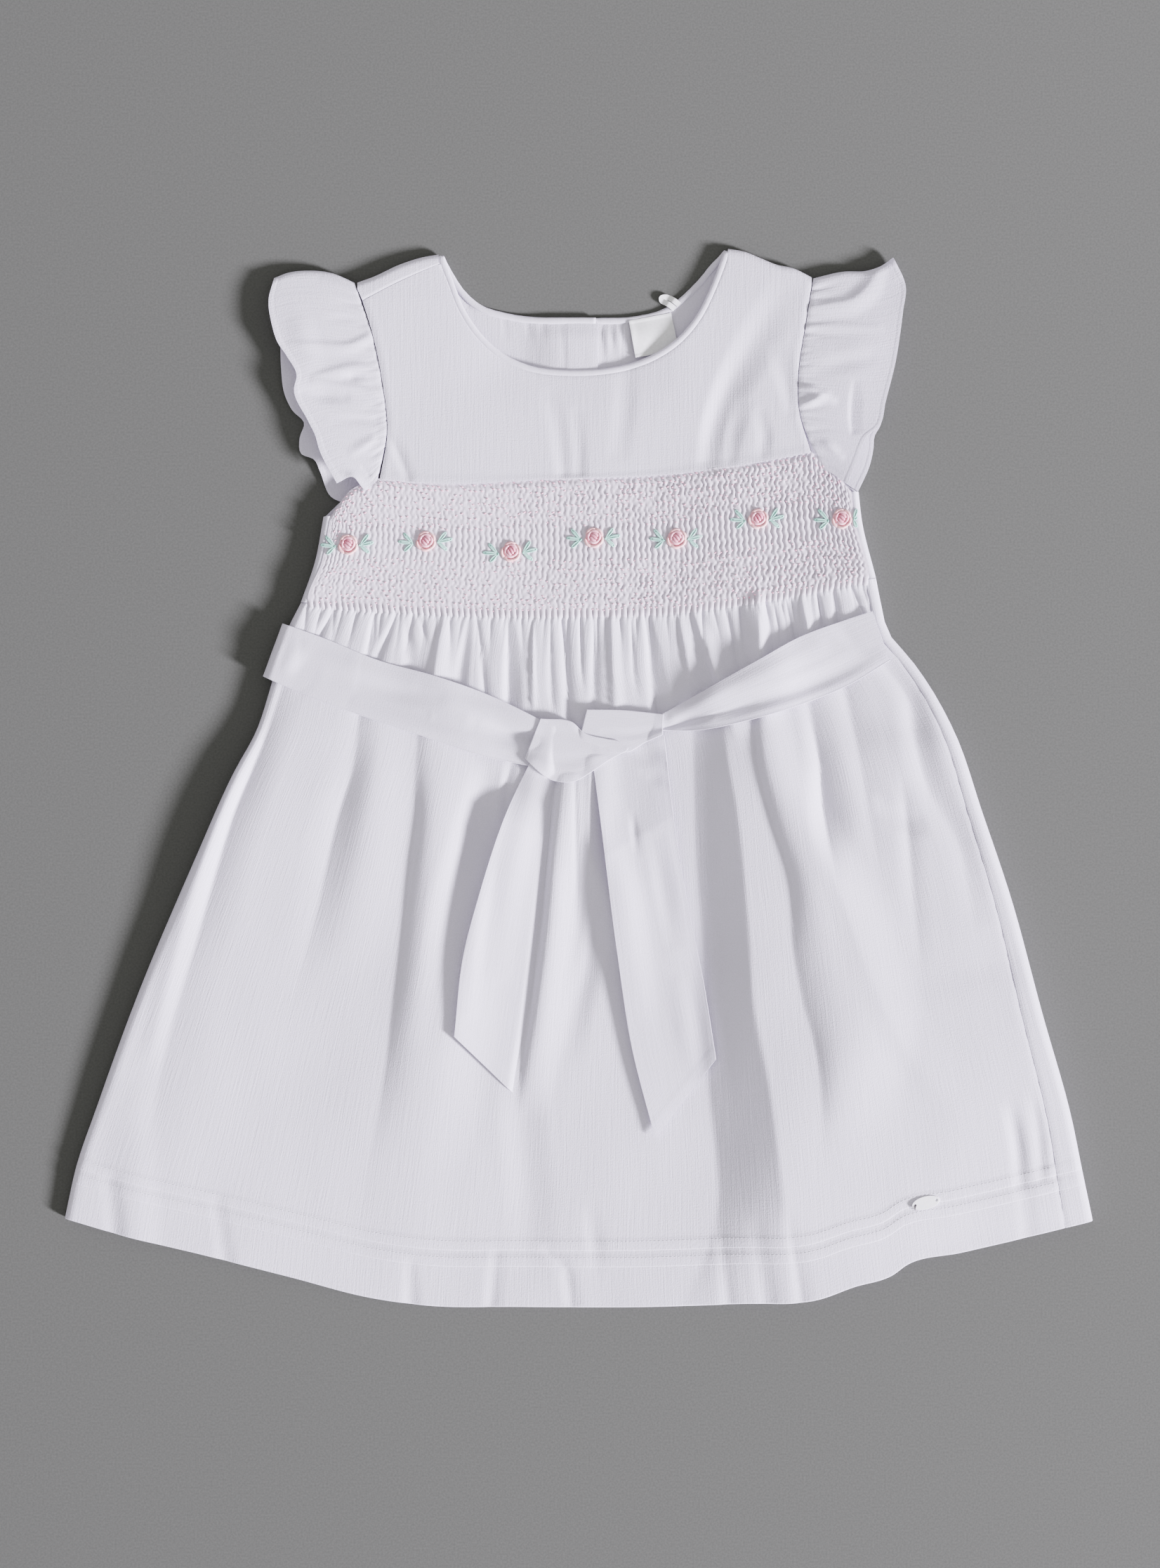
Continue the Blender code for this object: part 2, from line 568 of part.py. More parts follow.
def back_half(name, side, material):
    """Half of the back bodice, from its placket edge to the side seam that shows on the front."""
    left_half = side == "left"
    armhole, underarm, outline, shoulder, neck = {
        "left": (ARMHOLE_LEFT, UNDERARM_LEFT, BODICE_LEFT, SHOULDER_LEFT, NECK_BACK_LEFT),
        "right": (ARMHOLE_RIGHT, UNDERARM_RIGHT, BODICE_RIGHT, SHOULDER_RIGHT, NECK_BACK_RIGHT),
    }[side]
    shoulder_line = through(shoulder if left_half else shoulder[::-1])
    inner_shoulder = shifted(shoulder_line, dy=-SHOULDER_ROLL)
    neck_line = beside(through(neck), 2 * PIPING + NECK_GAP)
    placket = through(PLACKET_EDGE_LEFT if left_half else PLACKET_EDGE_RIGHT)
    waist = through(WAIST)
    if left_half:
        top = joined((inner_shoulder, SHOULDER_SHARE), (part_of(neck_line, NECK_TRIM, 1), 1.0))
        low = part_of(waist, 0, BACK_SPLIT)
    else:
        top = joined(
            (inner_shoulder, SHOULDER_SHARE),
            (part_of(neck_line, 1 - NECK_TRIM, 0.02), 0.88),
            (straight(neck_line(0.02), placket(0)), 1.0),
        )
        low = part_of(waist, 1, BACK_SPLIT - BACK_OVERLAP)
    edge = through((inner_shoulder(0), *armhole[1:-1], *underarm[:-1], outline[0]))
    outer = joined((edge, UNDERARM_SHARE), (through(outline), 1.0))
    surface = patch(top, shifted(low, dy=GAP), outer, placket)

    rows = (0, 0.1, 0.22, 0.36, 0.5, 0.6, UNDERARM_SHARE, 0.8, 0.9, 1)
    near_placket = np.array(PLACKET_COLUMNS)
    flat = np.concatenate([np.linspace(0, SHOULDER_SHARE, 4), np.linspace(SHOULDER_SHARE + 0.01, 0.75, 5)])
    inset, up = roll((90, 45, 0, -45), BODICE_ROLL)
    grid = []
    for share in rows:
        width = np.linalg.norm(surface(1, share) - surface(0, share))
        on_side = share >= UNDERARM_SHARE
        start = BODICE_ROLL / width if on_side else 0.0
        across = np.concatenate([start + (1 - start) * flat, 1 - near_placket / width])
        plan = surface(across, share)
        z = placket_z(plan)
        if left_half:
            z += overlap_rise(plan[:, 0])
        main = np.concatenate([plan, z[:, None]], axis=-1)
        wrap = np.full((5, 3), np.nan)
        if on_side:
            wrap_inset = np.concatenate([[BODICE_SEAM - GAP], inset])
            wrap = raised(surface(wrap_inset / width, share), FLOOR_MID, np.concatenate([[1], up]))
        grid.append(np.concatenate([wrap, main]))
    grid = np.array(grid)

    columns = np.concatenate([np.full(5, np.nan), flat, np.full(5, np.nan)])
    over = columns <= SHOULDER_SHARE
    if left_half:
        depth, up = roll((90, 45, 0, -45), SHOULDER_ROLL)
        rolls = rolled_rows(shoulder_line, columns, over, 0, depth, up, end=SHOULDER_SHARE)
        strip = np.full((1, len(columns), 3), np.nan)
        strip[0, over] = raised(through(SHOULDER_SEAM_LEFT)(columns[over] / SHOULDER_SHARE), 0, 1)
        grid = np.concatenate([strip, rolls, grid])
    else:
        depth, up = roll((-5, -45), SHOULDER_ROLL)
        rolls = rolled_rows(shoulder_line, columns, over, 0, depth, up, end=SHOULDER_SHARE)
        grid = np.concatenate([rolls, grid])[:, ::-1]
    return cloth(name, grid, CLOTH, material)


def neck_binding(material):
    """One piped strip: from the placket round the left back, the front and the right back."""
    points = []
    back_left = beside(through(NECK_BACK_LEFT), PIPING)(np.linspace(1, 0.04, 14))
    front = beside(through(NECK_FRONT), PIPING)(np.linspace(0, 1, 30))
    back_right = beside(through(NECK_BACK_RIGHT), PIPING)(np.linspace(0.96, 0, 14))
    for place in back_left:
        points.append((*place, binding_back_z(place, under=False)))
    for turn in (-45, 0, 45):
        points.append(over_shoulder(front[0], turn))
    for place in front:
        points.append((*place, front_z(place)))
    for turn in (45, 0, -45):
        points.append(over_shoulder(front[-1], turn))
    for place in back_right:
        points.append((*place, binding_back_z(place, under=True)))
    return tube("neck_binding", points, PIPING, material)


def binding_back_z(place, under):
    """The binding follows the back's edge. The left half lies over the right one at the placket."""
    return placket_z(place) + PIPING - FLOOR_MID + (0 if under else overlap_rise(place[0]))


def over_shoulder(place, turn):
    """A point of the binding where it goes over a shoulder, from the back up to the front."""
    low, high = PIPING, front_z(place)
    forward = (high - low) / 2 * np.cos(np.radians(turn))
    return (place[0], place[1] + forward, (low + high) / 2 + (high - low) / 2 * np.sin(np.radians(turn)))


# ------------------------------------------------------------------ flutter sleeves


def flutter_sleeve(name, fold, front_edge, back_edge, armhole, material):
    """A ruffle from the front of its armhole, over the shoulder, to the back, folded at the top."""
    on_left = fold[0][0] < 0
    fold_line = through(fold)
    away = -SLEEVE_GAP if on_left else SLEEVE_GAP
    seam = [(x + away, y) for x, y in armhole[1:-1]]
    seam_end = (armhole[-1][0] + away, armhole[-1][1] + SLEEVE_GAP)
    seam_line = through((fold[-1] if on_left else fold[0], *seam, seam_end))
    layers = []
    for free_edge in (front_edge, back_edge):
        free_line = through(free_edge)
        low = (free_edge[-1], seam_end) if on_left else (seam_end, free_edge[-1])
        sides = (free_line, seam_line) if on_left else (seam_line, free_line)
        layers.append(patch(fold_line, straight(*low), *sides))
    across = np.linspace(0, 1, 7)
    outward = 1 - across if on_left else across
    inset, up = roll((60, 0, -60), SHOULDER_ROLL)
    down = np.linspace(SHOULDER_ROLL / SLEEVE_RUN, 1, 10)
    rows = [(0, share, 1.0) for share in down[::-1]]
    rows += [(0 if share > 0.5 else 1, depth / SLEEVE_RUN, share) for depth, share in zip(inset, up)]
    rows += [(1, share, 0.0) for share in down]
    grid = []
    for layer, share, rise in rows:
        plan = layers[layer](across, share)
        turn = 2 * np.pi * share
        ripple = np.sin(3 * turn + (0.6 if on_left else 2.0))
        high = front_z(plan) + SLEEVE_WAVE * (1 + ripple) * outward
        low = FLOOR_MID + SLEEVE_WAVE / 2 * (1 + np.sin(4 * turn)) * outward
        grid.append(np.concatenate([plan, (low + (high - low) * rise)[:, None]], axis=-1))
    return cloth(name, grid[::-1], CLOTH, material)


# ------------------------------------------------------------------ sash


def sash_left(pile, material):
    """The left stretch comes round the rolled side of the skirt, from its side seam."""
    surface = band(SASH_LEFT_TOP, SASH_LEFT_LOW)
    down = np.linspace(0, 1, 5)
    inset, up = roll((-35, 0, 45), SIDE_ROLL)
    flat = np.linspace(2 * SIDE_ROLL, SASH_LEFT_END, 15)
    across = np.concatenate([inset, flat]) / SASH_LEFT_LENGTH
    grid = laid(sampled(surface, across, down), pile, SASH_CLOTH, 5)
    top = grid[:, len(inset), 2]
    for column, share in enumerate(up):
        grid[:, column, 2] = SASH_CLOTH / 2 + (top - SASH_CLOTH / 2) * share
    return cloth("sash_left", grid, SASH_CLOTH, material)


def sash_right(pile, material):
    surface = band(SASH_RIGHT_TOP, SASH_RIGHT_LOW)
    plan = sampled(surface, np.linspace(0, SASH_RIGHT_END, 15), np.linspace(0, 1, 5))
    grid = laid(plan, pile, SASH_CLOTH, 5)
    return cloth("sash_right", grid, SASH_CLOTH, material)


def sash_tail(name, edges, pile, material):
    surface = between(*edges)
    grid = laid(sampled(surface, np.linspace(0, 1, 5), np.linspace(0, 1, 16)), pile, SASH_CLOTH, 5)
    return cloth(name, grid, SASH_CLOTH, material)


def knot_lobe(name, top, low, crown, reach, pile, material):
    """A lobe of the knot, thickest along its middle."""
    across, down = np.linspace(0, 1, 10), np.linspace(0, 1, 5)
    grid = laid(sampled(band(top, low), across, down), pile, KNOT_CLOTH, reach, 20)
    grid[..., 2] += crown * np.sin(np.pi * across)[None, :] * np.sin(np.pi * down)[:, None]
    return cloth(name, grid, KNOT_CLOTH, material)


# ------------------------------------------------------------------ small pieces


def neck_label(pile, material):
    top_left, top_right, low_right, low_left = LABEL_CORNERS
    surface = patch(
        straight(top_left, top_right), straight(low_left, low_right),
        straight(top_left, low_left), straight(top_right, low_right),
    )
    grid = laid(sampled(surface, np.linspace(0, 1, 5), np.linspace(0, 1, 5)), pile, CLOTH, 2)
    return cloth("neck_label", grid, CLOTH, material)


def hanger_loop(pile, material):
    """A ribbon folded in two: the lower layer out to the tip, and the upper layer back."""
    surface = patch(
        straight(*LOOP_BASE), straight(*LOOP_TIP),
        straight(LOOP_BASE[0], LOOP_TIP[0]), straight(LOOP_BASE[1], LOOP_TIP[1]),
    )
    across = np.linspace(0, 1, 3)
    lower = laid(sampled(surface, across, (0, 0.45, 0.85)), pile, LOOP_RIBBON, 2)
    level = lower[..., 2].max()
    lower[..., 2] = level
    fold = lower[-1:].copy()
    fold[..., :2] = surface(across, 1.0)
    fold[..., 2] = level + (LOOP_RIBBON + STACK_GAP) / 2
    upper = lower[::-1].copy()
    upper[..., 2] = level + LOOP_RIBBON + STACK_GAP
    return cloth("hanger_loop", np.concatenate([lower, fold, upper]), LOOP_RIBBON, material)


def back_button(number, y, material):
    offsets = (-BUTTON_HOLE_PITCH / 2, BUTTON_HOLE_PITCH / 2)
    holes = [ellipse(BUTTON_HOLE, BUTTON_HOLE, (dx, dy), 6) for dx in offsets for dy in offsets]
    outline = ellipse(2 * BUTTON_RADIUS, 2 * BUTTON_RADIUS, (0, 0), 20)
    piece = plate(f"back_button_{number}", outline, holes, BUTTON_THICKNESS, material)
    piece.location = Vector((BUTTON_X, y, BUTTON_THICKNESS / 2)) * MM
    return piece


def hem_charm(pile, material):
    length, width, thickness = CHARM_SIZE
    reach = length / 2 - CHARM_HOLE_INSET
    holes = [ellipse(CHARM_HOLE, CHARM_HOLE, (side * reach, 0), 8) for side in (-1, 1)]
    piece = plate("hem_charm", ellipse(length, width, (0, 0), 28), holes, thickness, material)
    top = pile.over(np.array([CHARM_PLACE]), length / 2)[0]
    piece.location = Vector((*CHARM_PLACE, top + GAP + thickness / 2)) * MM
    piece.rotation_euler.z = np.radians(CHARM_TILT)
    return piece


# ------------------------------------------------------------------ assembly


def main():
    clear_scene()
    cotton = finish("white_cotton", (0.80, 0.79, 0.81), 0.85)
    smocking = finish("smocked_cotton", (0.82, 0.78, 0.80), 0.9)
    sash = finish("sash_cotton", (0.81, 0.80, 0.82), 0.7)
    label = finish("label_satin", (0.72, 0.72, 0.71), 0.45)
    metal = finish("charm_metal", (0.80, 0.80, 0.81), 0.25, 1.0)
    shell = finish("button_resin", (0.83, 0.83, 0.83), 0.35)

    pile = Pile()
    surface = skirt_surface()
    pile.add(back_skirt(surface, cotton))
    pile.add(back_half("back_bodice_left", "left", cotton))
    pile.add(back_half("back_bodice_right", "right", cotton))
    for number, y in enumerate(BUTTONS_Y, 1):
        back_button(number, y, shell)
    neck_label(pile, label)
    pile.add(neck_binding(cotton))
    hanger_loop(pile, label)

    pile.add(front_skirt(surface, cotton))
    pile.add(smocked_panel(smocking))
    pile.add(front_yoke(cotton))
    flutter_sleeve(
        "flutter_sleeve_left", SLEEVE_LEFT_FOLD, SLEEVE_LEFT_FRONT, SLEEVE_LEFT_BACK, ARMHOLE_LEFT, cotton
    )
    flutter_sleeve(
        "flutter_sleeve_right",
        SLEEVE_RIGHT_FOLD, SLEEVE_RIGHT_FRONT, SLEEVE_RIGHT_BACK, ARMHOLE_RIGHT, cotton,
    )
    hem_charm(pile, metal)

    pile.add(sash_left(pile, sash))
    pile.add(sash_right(pile, sash))
    pile.add(sash_tail("sash_tail_left", TAIL_LEFT_EDGES, pile, sash))
    pile.add(sash_tail("sash_tail_right", TAIL_RIGHT_EDGES, pile, sash))
    pile.add(knot_lobe("sash_knot_wrap", KNOT_WRAP_TOP, KNOT_WRAP_LOW, *WRAP_RISE, pile, sash))
    pile.add(knot_lobe("sash_knot_loop", KNOT_LOOP_TOP, KNOT_LOOP_LOW, *KNOT_LOOP_RISE, pile, sash))


main()
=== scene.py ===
"""Looks of a toddler's dress laid flat: its cloth, smocking, embroidery, stitching and creases.

Tables and sizes are in millimetres, in the frame of the CAD part: x runs to the viewer's right, y towards the
neck and z up from the surface. MM turns them into metres where a mesh is made.
"""

import json

import bpy
import numpy as np
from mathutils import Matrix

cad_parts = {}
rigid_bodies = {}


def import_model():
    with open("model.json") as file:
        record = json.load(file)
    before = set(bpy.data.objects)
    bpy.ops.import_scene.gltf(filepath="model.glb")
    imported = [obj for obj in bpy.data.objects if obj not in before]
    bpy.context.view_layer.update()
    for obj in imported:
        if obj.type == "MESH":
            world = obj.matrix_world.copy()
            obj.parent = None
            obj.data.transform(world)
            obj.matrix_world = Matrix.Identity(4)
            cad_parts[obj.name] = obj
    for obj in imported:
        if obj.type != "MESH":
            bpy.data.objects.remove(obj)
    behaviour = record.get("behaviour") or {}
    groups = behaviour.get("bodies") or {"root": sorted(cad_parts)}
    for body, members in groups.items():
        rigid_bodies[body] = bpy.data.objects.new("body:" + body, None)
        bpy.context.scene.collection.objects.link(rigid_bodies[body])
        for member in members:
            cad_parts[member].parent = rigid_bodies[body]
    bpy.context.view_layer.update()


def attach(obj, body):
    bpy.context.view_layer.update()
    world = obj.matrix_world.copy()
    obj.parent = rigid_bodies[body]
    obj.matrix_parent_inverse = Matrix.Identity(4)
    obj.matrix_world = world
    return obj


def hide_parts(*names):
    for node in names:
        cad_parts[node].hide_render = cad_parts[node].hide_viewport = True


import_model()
MM = 0.001

# Cloth
WALL = 0.5  # one layer of cotton voile with its lining
SASH_WALL = 0.6  # the sash is a flattened tube
KNOT_WALL = 0.4
PANEL_WALL = 0.35  # smocked cloth, already thick with its pleats
FLOOR_MID = 0.5  # mid-wall height of cloth that lies on the surface
SEAM_GAP = 0.15
SIDE_ROLL = 4.0
BODICE_ROLL = 2.5
SHOULDER_ROLL = 3.0
BODICE_SEAM = 3.2
PIPING = 1.5  # its radius
PIPING_SIDES = 14
PIPING_FLAT = 0.46  # it is pressed to this share of its height
NECK_TUCKED = 1.0  # the back goes on this far under its binding
HEM_DEPTH = 17.0
TUCK_DEPTH = 5.3
TUCK_PITCH = 7.0
TUCK_LAYER = 0.09  # from one layer of a tuck to the next
SLEEVE_RUN = 95.0  # from the fold at the shoulder to its lower end
SLEEVE_GAP = 0.5
EDGE_HEM = 2.3  # narrow hem round the free edge of a sleeve
STACK_GAP = 0.15
OVERLAP_RISE = 0.7  # the left half of the back lies this much over the right one
PLACKET_BAND = 15.0
SHOULDER_SHARE = 0.3  # of the top edge of half the back
UNDERARM_SHARE = 0.7  # of its outer edge, where the side seam starts
BACK_SPLIT = 0.52  # of the waist, where the left half of the back ends
BACK_OVERLAP = 0.06
SASH_WIDTH = 27
SASH_LEFT_LENGTH = 130.0
SASH_RIGHT_LENGTH = 118
SASH_RIGHT_WIDTHS = (6, 28)  # at the knot and at the side
EDGE_ROWS = (0.974, 0.982, 0.988, 0.994, 1.0)  # closer rows at the sash's lower edge
TAIL_WIDTH = 24
TAIL_CLOTH = (26, 165)
TAIL_HEM = 0.953  # share of its length
KNOT_SIZE = (44.0, 17.0)
KNOT_LENGTH = 60
LABEL_SIZE = (20, 18)
LABEL_FOLD = 1.2
LABEL_WALL = 0.3
LOOP_WIDTH = 2.5
LOOP_LENGTH = 14
LOOP_LEAN = 8.0
CHARM_SIZE = (13.0, 5.9, 0.8)
CHARM_BEVEL = 0.12
CHARM_HOLE = 1.2
CHARM_HOLE_INSET = 1.4
CHARM_PLACE = (160.2, -196.0)
CHARM_TURN = 14.0
CHARM_TILT = 3

# Smocking
PLEATS = 97
PLEAT_HEIGHT = 1.0
SMOCK_WAVE = 4.2  # length of a wave of the pleats; its rows of stitches are half of it apart
SMOCK_HEIGHT = 58.0
SMOCK_TUCKED = 0.8  # the panel goes on this far under the yoke
SMOCK_LAPPED = 3.2  # and this far over the skirt, into which it fades
SMOCK_LENGTH = SMOCK_TUCKED + SMOCK_HEIGHT + SMOCK_LAPPED
SMOCK_ZONES = (20.0, 35.0)  # the plain band with the roses lies between these distances from the top

# Shares of the yoke's top edge at which the shoulder seam ends and at which the right shoulder starts
YOKE_TOP = (0.17, 0.81)
NECK_TRIM = 0.03  # share of the back's neck edge that is left out at the shoulder

# Cloth before it is gathered, and how the pleats are shared out
SKIRT_CUT = 520.0
WAIST_SPAN = (0.014, 0.986)  # the smocked panel takes this share of the waist
PLEAT_SPAN = 0.972  # which is this much of it
TUCK_STITCH_ROWS = (75, 91)  # rows of the front skirt's points along the top of its two tucks

# Materials
COTTON_ROUGHNESS = 0.85
COTTON_SHEEN = 0.15
COTTON_SHADE = 0.90  # the darker tone of its grain
SHEER = 0.3  # share of the light that goes on through a face of the cloth
GRAIN_LIMITS = (0.3, 0.7)
SHADE_LIMITS = (0.35, 0.65)

# Back placket
BUTTON_X = -1.5
PLACKET_LIFT = 1.3
PLACKET_REACH = 25.0
PLACKET_FLANK = 17.5
PLACKET_SPREAD = 14  # its right flank reaches this much further
PLACKET_SINK = (0.75, 204, 8)  # share of the lift that goes, where that starts, and over how far
PLACKET_LOW = 92.0
PLACKET_RUN = 18.0
OVERLAP_START = -34.0
OVERLAP_RUN = 24.0

# Outlines in plan, each a row of (x, y)
SKIRT_LEFT = (
    (-128.5, 81), (-135, 68), (-142.5, 42), (-149, 22), (-159.5, 2.5), (-177, -36.5),
    (-204.5, -101.5), (-223.5, -153.5), (-232.5, -179.5), (-238, -204),
)
SKIRT_RIGHT = (
    (137.5, 92.5), (140, 80), (143, 68), (154, 54.5), (163, 41.5), (173.5, 22), (187, -17),
    (200, -56), (214, -108), (228.5, -160), (232.5, -179.5), (238, -205),
)
WAIST = ((-128.5, 81), (-105, 79), (-72, 77), (-14, 75.5), (44, 77), (95, 84), (137.5, 92.5))
HEM = (
    (-238, -204), (-212.5, -211.5), (-173.5, -221), (-134.5, -231), (-95.5, -241), (-69.5, -244.5),
    (-30, -245), (34, -245), (73, -243.5), (112, -241), (127, -235.5), (145, -230), (152, -225),
    (177, -219.5), (203, -213.5), (238, -205),
)
BODICE_LEFT = ((-118, 121), (-122, 100), (-128.5, 81.3))
BODICE_RIGHT = ((129.5, 132.5), (131, 119.5), (137.5, 92.8))
YOKE_SEAM = ((-92, 138), (-64.5, 136), (-14, 138), (44, 140.5), (95, 148), (107.5, 150.5))
UNDERARM_LEFT = ((-92, 138), (-105, 132.5), (-118, 121))
UNDERARM_RIGHT = ((107.5, 150.5), (118, 141.5), (129.5, 132.5))
ARMHOLE_LEFT = ((-102.5, 227), (-95.5, 206), (-91, 184.5), (-88.5, 160), (-92, 138))
ARMHOLE_RIGHT = ((108, 228.5), (105, 210.5), (101.5, 185), (102, 170), (107.5, 150.5))
SHOULDER_LEFT = ((-102.5, 229.5), (-95.5, 232), (-82.5, 238), (-72, 241.3), (-64.9, 242.5))
SHOULDER_RIGHT = ((69.3, 245.2), (76.5, 244), (84, 241), (92, 237.8), (99, 236.3), (108, 232))
SHOULDER_SEAM_LEFT = ((-100, 221), (-86, 228.5), (-64.4, 238.4))
NECK_FRONT = (
    (-62.5, 241.5), (-58.5, 231.5), (-53.5, 218.5), (-46.5, 207.5), (-36, 197.5), (-25, 192), (-2, 189),
    (19, 191), (33, 195.5), (46, 204), (55, 215), (60.5, 226), (67.2, 243.6),
)
NECK_BACK_LEFT = ((-62.5, 241.5), (-58.5, 234.5), (-52, 225), (-45.5, 219.6), (-32, 215.5), (8, 213.5))
NECK_BACK_RIGHT = (
    (9.2, 213.5), (24.5, 214), (41, 218.5), (50.5, 226), (57, 232.8), (61, 238), (67.2, 243.6),
)
PLACKET_EDGE_LEFT = ((8.5, 211.5), (11.5, 76.8))
PLACKET_EDGE_RIGHT = ((-6.5, 211.5), (-6.5, 76.3))

# Mid-wall height of the front, down the middle and just inside the rolled sides
LOFT = (  # y, middle, side
    (245, 3.4, 3.4),
    (222, 4.4, 4.6),
    (190, 4.7, 5.3),
    (140, 5.2, 6.1),
    (80, 5.2, 6.6),
    (20, 5.2, 7.8),
    (-60, 4.7, 6.8),
    (-150, 3.8, 5.6),
    (-245, 2.6, 3.5),
)
NECK_DIP = 1.2  # the front of the neck lies this much lower over the placket

SEAM_INSET = ((0.0, 4.8), (0.2, 4.8), (1.0, 12.6))  # share of the skirt's length, inset of its right seam

# Folds: the profiles of the left and the right flank, then points of the crest, each with its height and the
# reach of the two flanks. Left is the viewer's where the crest runs down the dress.
# s is steep at the crest, d at the foot, l even and r rounded at both.
SKIRT_FOLDS = (
    ("dr", ((-64, 26, 1.0, 10, 16), (-64.5, 9, 1.6, 10.5, 22), (-64.5, -17, 3.4, 10.5, 26),
            (-65.5, -43, 3.9, 13, 28),
            (-66.5, -75, 3.9, 15.5, 30), (-66, -108, 3.9, 20, 30), (-68, -140, 2.6, 22, 28),
            (-78, -186, 0.4, 20, 24))),
    ("rr", ((-44, -4, -1.2, 10, 13), (-50, -30, -2.0, 12, 14), (-58, -56, -1.8, 12, 13),
            (-64, -90, -1.2, 12, 12),
            (-68, -118, -0.4, 12, 12))),
    ("ss", ((-101.4, 31, -0.6, 11, 9), (-105.3, 0.7, -1.2, 13, 12), (-110.2, -13.7, -1.8, 14, 13),
            (-120.6, -59.2, -1.0, 14, 14), (-130, -95, -0.2, 14, 14))),
    ("rr", ((-92, 26, 0.4, 12, 14), (-94, 5, 1.4, 13, 18), (-98, -30, 1.2, 14, 20),
            (-106, -75, 0.5, 16, 20))),
    ("ss", ((-137, 43, -1.0, 7, 12), (-149, 9.4, -2.5, 7, 14), (-160, -17, -2.8, 7, 16),
            (-168, -43, -2.6, 8, 18),
            (-177, -75, -1.6, 9, 18), (-190, -120, -0.8, 10, 20), (-198, -160, -0.2, 10, 20))),
    ("rs", ((-150, 22, 0.5, 5, 6), (-166, -17, 0.9, 6, 7), (-180, -60, 0.8, 7, 8), (-197, -125, 0.4, 8, 9))),
    ("dr", ((-6, -1, 2.6, 4.6, 12), (-7.6, -14, 3.8, 4.8, 13), (-10, -37, 4.2, 4.8, 14),
            (-12.8, -69, 3.8, 4.8, 14),
            (-17.2, -104, 3.0, 5.0, 14), (-20, -124, 2.2, 5.0, 14), (-23, -146, 0.8, 5.0, 13))),
    ("sl", ((5.5, 6, 2.6, 18, 8), (6, -36, 3.0, 18, 8), (15, -59, 2.8, 20, 11), (20, -90, 0.8, 22, 16))),
    ("ss", ((-1.8, 2, -0.6, 1.8, 2.6), (-1.6, -20, -0.9, 1.8, 2.6), (-0.6, -52, -0.3, 1.8, 2.6))),
    ("rr", ((8.1, -74, -0.8, 7, 8), (2.3, -95, -1.0, 7, 8), (-3.6, -124, -0.3, 7, 8))),
    ("rr", ((50, 28, 0.8, 20, 10), (50, -30, 1.0, 22, 10), (52, -72, 1.0, 22, 10), (56, -121, 0.8, 20, 12),
            (58, -150, 0.3, 20, 14))),
    ("lr", ((66.5, 34, 3.0, 13, 50), (67.3, 23.7, 4.4, 14, 70), (68.9, 9, 5.8, 15.5, 105),
            (73.4, -17, 7.6, 19.5, 150),
            (76.2, -43, 8.6, 21, 200), (78.6, -75, 8.8, 20.5, 260), (81, -108, 9.8, 22, 300),
            (87.5, -140, 11.0, 27.5, 300), (92, -172.9, 10.0, 28, 280), (94.5, -196, 8.2, 30, 250),
            (96, -214, 6.2, 36, 220),
            (97.5, -230, 4.4, 44, 180), (98, -247, 3.2, 50, 160))),
    ("dr", ((84.6, 34, 1.4, 4, 14), (88, 9, 2.7, 6, 16), (97.8, -17, 3.8, 9.5, 18), (110, -43, 4.2, 13.5, 22),
            (120.5, -75, 4.0, 22, 34), (127, -108, 3.8, 22, 34), (124, -140, 2.2, 12.5, 28),
            (124.5, -165, 0.4, 12, 24))),
    ("sr", ((104, -17, 0.3, 8, 16), (122, -59, 0.9, 9, 18), (135, -95, 0.7, 10, 20),
            (151.5, -128, 0.9, 10, 22), (171, -150, 0.2, 10, 24))),
    ("ss", ((106, 37, -1.3, 7, 10), (108, 24, -2.0, 7, 11), (111, 9, -3.2, 8, 13), (113, -17, -4.4, 9, 18),
            (117, -38, -0.7, 9, 12))),
    ("ss", ((122.5, 43, -1.5, 8, 11), (128, 18.2, -1.1, 9, 12), (135.2, -23.4, -0.6, 10, 12),
            (139, -45, -0.2, 10, 12))),
    ("rr", ((140, -14, -0.9, 5, 5), (148, -19, -1.6, 5, 5), (157, -20, -0.9, 5, 5))),
    ("sr", ((141.7, 51, -1.2, 7, 10), (152, 37.4, -1.9, 8, 11), (155, 18.9, -2.2, 9, 12),
            (161, -3.9, -2.0, 10, 12),
            (175, -29.9, -1.5, 11, 12), (181, -59.2, -0.6, 11, 12))),
    ("ss", ((150, -4, -0.5, 7, 9), (152, -25, -1.3, 7, 9), (154, -50, -1.0, 8, 9), (157, -80, -0.3, 8, 9))),
    ("rr", ((-27, -140, -0.3, 12, 12), (-27, -150, -0.8, 12, 13), (-24, -192, -0.9, 12, 14),
            (-22, -225, -0.3, 12, 14))),
    ("ls", ((-30.5, 8, -0.6, 2.5, 5), (-33.6, -4, -1.3, 3, 6), (-33.8, -16, -0.6, 3, 6))),
    ("rr", ((-205, -152, 0.4, 16, 12), (-206, -200, 0.9, 16, 14), (-206, -215, 1.0, 14, 14))),
    ("rr", ((200, -156, -1.0, 5, 5), (203, -172, -1.5, 5, 5), (204, -186, -0.8, 5, 5))),
    ("rr", ((210, -150, -0.5, 4, 4), (213, -168, -1.0, 4, 4), (214, -184, -0.6, 4, 4))),
)

